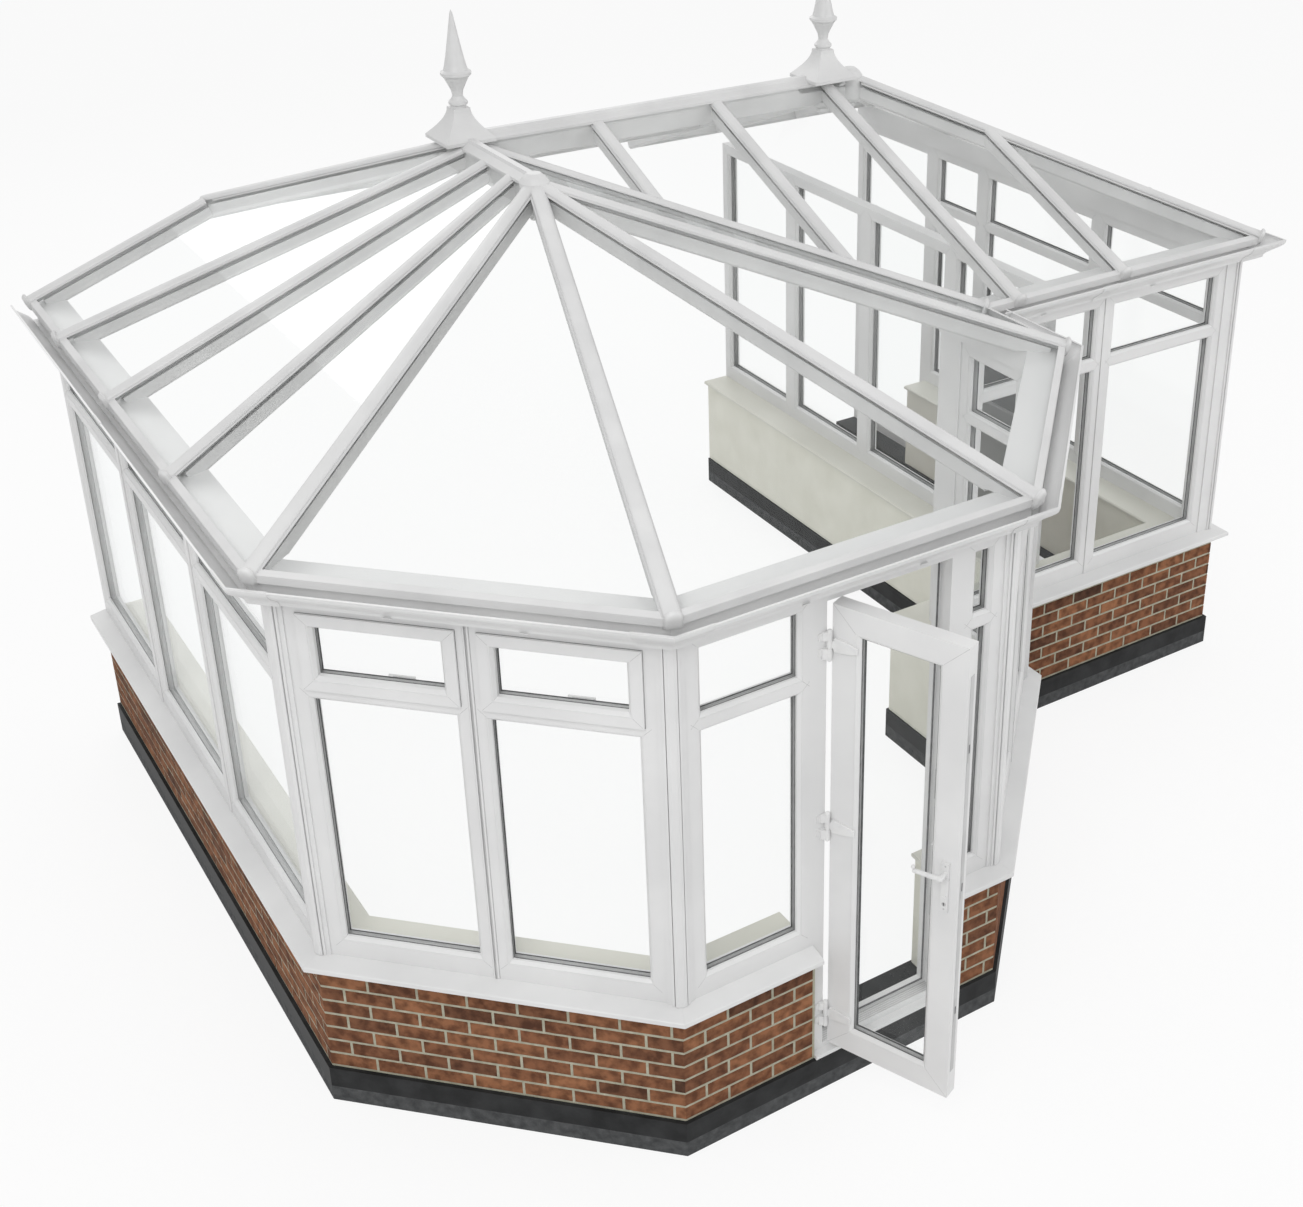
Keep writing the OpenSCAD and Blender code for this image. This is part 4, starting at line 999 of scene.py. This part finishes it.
# %% Gaskets along the caps
gaskets = Soup()
gasket = ((28.5, -0.2), (36.5, -0.2), (37.0, 1.4), (33.0, 4.2), (28.5, 5.0))
for foot, top, lean_left, lean_right, to_eaves, hip in bars:
    n = math.dist(foot, top)
    h = ((top[0] - foot[0]) / n, (top[1] - foot[1]) / n)
    across = (-h[1], h[0])
    start = -46.0 if to_eaves else (64.0 if hip else 10.0)
    stop = n - (70.0 if hip else 24.0)
    for side, slope in ((1, lean_left), (-1, lean_right)):
        rings = []
        for at in (start, stop):
            ring = []
            for w, up in gasket:
                x = foot[0] + h[0] * at + across[0] * side * w
                y = foot[1] + h[1] * at + across[1] * side * w
                ring.append(place(x, y, slope.z(x, y, pane_up + up)))
            rings.append(ring)
        gaskets.prism(rings)
gaskets.made("roof_gaskets", gasket_grey, building, "white_upvc")

# %% [markdown]
# The lower edge of each row of panes is dressed with two thin strips: a flat one that lies on the
# glass, and an upright one that covers its cut edge and throws the rain into the gutter.

# %% Trims along the lower edges of the glass
trims = Soup()
flat_trim = ((-58.6, 12.1), (-30, 12.1), (-31, 14.2), (-57, 15.0), (-58.6, 14.4))
edge_trim = ((-59.8, -15), (-57.4, -15), (-57.4, 14.6), (-59.8, 14.0))
for slope, s0, s1 in (
        (left_slope, 40, side_w + 10), (left_slant, -18, corner_w + 18), (front_slope, -18, front_w + 18),
        (right_slant, -18, corner_w + 18), (return_slope, -18, return_w - 60),
        (wing_slope, 60, wing_w + 40), (end_slope, -40, far_run.length - 40)):
    for section in (flat_trim, edge_trim):
        trims.prism([[slope.point(s, t, up) for t, up in section] for s in (s0, s1)])
trims.made("glass_foot_trims", roof_white, building, "white_upvc")

# %% [markdown]
# A moulded nose closes the lower end of every bar that reaches the gutter. Its rim laps over the
# end of the bar's cap, and its face swells out like a cushion, which gives the row of rounded ends
# along the eaves.

# %% Rounded noses of the bars
noses = Soup()
cap_half, cap_up, cap_end = 30.0, 19.0, 63.0
outline = [(cap_half * math.cos(math.radians(a)), cap_up + cap_half * math.sin(math.radians(a)))
           for a in range(0, 181, 12)]
outline += [(-cap_half, 0), (-cap_half, -23.5), (-12, -23.9), (12, -23.9), (cap_half, -23.5), (cap_half, 0)]
swell = ((-5.0, 1.02), (-4.4, 1.1), (0.6, 1.1), (1.6, 1.04), (5.0, 1.0), (8.5, 0.94), (11.5, 0.84),
         (13.6, 0.66), (14.8, 0.4), (15.2, 0.12))
for foot, top, lean_left, lean_right, to_eaves, hip in bars:
    if not to_eaves:
        continue
    if hip:
        along = Vector((top[0] - foot[0], top[1] - foot[1], roof_rise)).normalized()
        across = Vector((-along.y, along.x, 0)).normalized()
        start = Vector((foot[0], foot[1], eaves_z))
    else:
        z0, z1 = lean_left.z(*foot), lean_left.z(*top)
        along = Vector((top[0] - foot[0], top[1] - foot[1], z1 - z0)).normalized()
        fall = Vector((*lean_left.up, roof_rise / lean_left.run))
        across = fall.cross(Vector((*lean_left.h, 0))).normalized().cross(along) * -1
        across = across if across.dot(Vector((-along.y, along.x, 0))) > 0 else across * -1
        start = Vector((foot[0], foot[1], z0))
    upward = along.cross(across).normalized()
    rings = []
    for out, size in swell:
        ring = []
        for w, v in outline:
            p = start - along * (cap_end + out) + across * (w * size)
            p += upward * (pane_up + (v - pane_up) * size)
            ring.append(place(*p))
        rings.append(ring)
    noses.prism(rings)
noses.made("bar_noses", roof_white, building, "white_upvc", True)

# %% [markdown]
# The studio is plain, and its light comes from three large soft lamps: a strong one in front on
# the left, a weaker one on the right, and one behind. White frames on a white ground need a light
# from one side above all, or their faces would run together.

# %% Lamps
def lamp(name, at, look, size, power):
    """A wide soft lamp that looks at a point."""
    data = bpy.data.lights.new(name, "AREA")
    data.shape = "RECTANGLE"
    data.size, data.size_y = size
    data.energy = power
    o = bpy.data.objects.new(name, data)
    bpy.context.scene.collection.objects.link(o)
    o.location = at
    o.rotation_mode = "QUATERNION"
    o.rotation_quaternion = (Vector(look) - Vector(at)).to_track_quat("-Z", "Y")
    return o


lamp("key", (-6, -7, 9), (0, 0, 1), (6, 6), 410)
lamp("fill", (8, -6, 5), (0, 0, 1), (6, 5), 170)
lamp("back", (1, 9, 8), (0, 0, 1.5), (7, 5), 200)
print("lamps:", len(bpy.data.lights))

# %% [markdown]
# A white page has no horizon, so the floor and the surround glow white wherever the camera or a
# mirrored ray meets them. For every other ray the floor is only pale paper and the surround a
# dimmer white, so that their glow doesn't wash out the shadows on the piece.

# %% Floor and surround
def seen(tree, most):
    """A number that is the given share for rays from the camera or a reflection, and nothing for light."""
    rays = node(tree, "LightPath")
    either = node(tree, "Math")
    either.operation = "MAXIMUM"
    share = node(tree, "MapRange", {"To Max": most})
    tree.links.new(rays.outputs["Is Camera Ray"], either.inputs[0])
    tree.links.new(rays.outputs["Is Glossy Ray"], either.inputs[1])
    tree.links.new(either.outputs["Value"], share.inputs["Value"])
    return share.outputs["Result"]


floor_half, floor_z = 60.0, -0.0005
paper = finish("studio_floor", (0.86, 0.86, 0.86), (0.88, 0.88, 0.88), 0.8, 0.6, 2)
t = paper.node_tree
glow = node(t, "Emission", {"Color": (1, 1, 1, 1), "Strength": 1.0})
mix = node(t, "MixShader")
t.links.new(seen(t, 0.87), mix.inputs["Fac"])
t.links.new(t.nodes["Principled BSDF"].outputs["BSDF"], mix.inputs[1])
t.links.new(glow.outputs["Emission"], mix.inputs[2])
t.links.new(mix.outputs["Shader"], output_of(t))
floor_mesh = bpy.data.meshes.new("floor")
floor_corners = [(x * floor_half, y * floor_half, floor_z) for x, y in ((-1, -1), (1, -1), (1, 1), (-1, 1))]
floor_mesh.from_pydata(floor_corners, [], [(0, 1, 2, 3)])
floor_mesh.materials.append(paper)
floor = bpy.data.objects.new("floor", floor_mesh)
bpy.context.scene.collection.objects.link(floor)

world = bpy.data.worlds.new("studio")
bpy.context.scene.world = world
world.use_nodes = True
t = world.node_tree
t.nodes.clear()
light = node(t, "Background", {"Color": (1, 1, 1, 1), "Strength": 0.66})
shown = node(t, "Background", {"Color": (1, 1, 1, 1), "Strength": 1.0})
pick = node(t, "MixShader")
t.links.new(seen(t, 1.0), pick.inputs["Fac"])
t.links.new(light.outputs["Background"], pick.inputs[1])
t.links.new(shown.outputs["Background"], pick.inputs[2])
t.links.new(pick.outputs["Shader"], node(t, "OutputWorld").inputs["Surface"])
bpy.context.scene.view_settings.view_transform = "Standard"
print("floor, m across:", 2 * floor_half)

# %% [markdown]
# The camera stands where the photographer's would have to be: high in front on the left, looking
# down at the bay's corner. The lens is shifted, because the picture is a crop of a wider one.

# %% Camera
image_w, image_h = 1303, 1207
focal_px, middle_px, film_w = 1796.0, (787.0, 462.0), 36.0
yaw, pitch = math.radians(33.5), math.radians(26.3)
cam_data = bpy.data.cameras.new("camera")
cam = bpy.data.objects.new("camera", cam_data)
bpy.context.scene.collection.objects.link(cam)
cam_data.sensor_fit = "HORIZONTAL"
cam_data.sensor_width = film_w
cam_data.lens = focal_px * film_w / image_w
cam_data.shift_x = (image_w / 2 - middle_px[0]) / image_w
cam_data.shift_y = (middle_px[1] - image_h / 2) / image_w
cam.location = place(-2445.0, -4387.5, 5436.8)
forward = Vector((math.sin(yaw) * math.cos(pitch), math.cos(yaw) * math.cos(pitch), -math.sin(pitch)))
cam.rotation_mode = "QUATERNION"
cam.rotation_quaternion = forward.to_track_quat("-Z", "Y")
cam_data.clip_start, cam_data.clip_end = 0.1, 200
bpy.context.scene.camera = cam
print("lens, mm:", round(cam_data.lens, 2), "shift:", round(cam_data.shift_x, 3), round(cam_data.shift_y, 3))
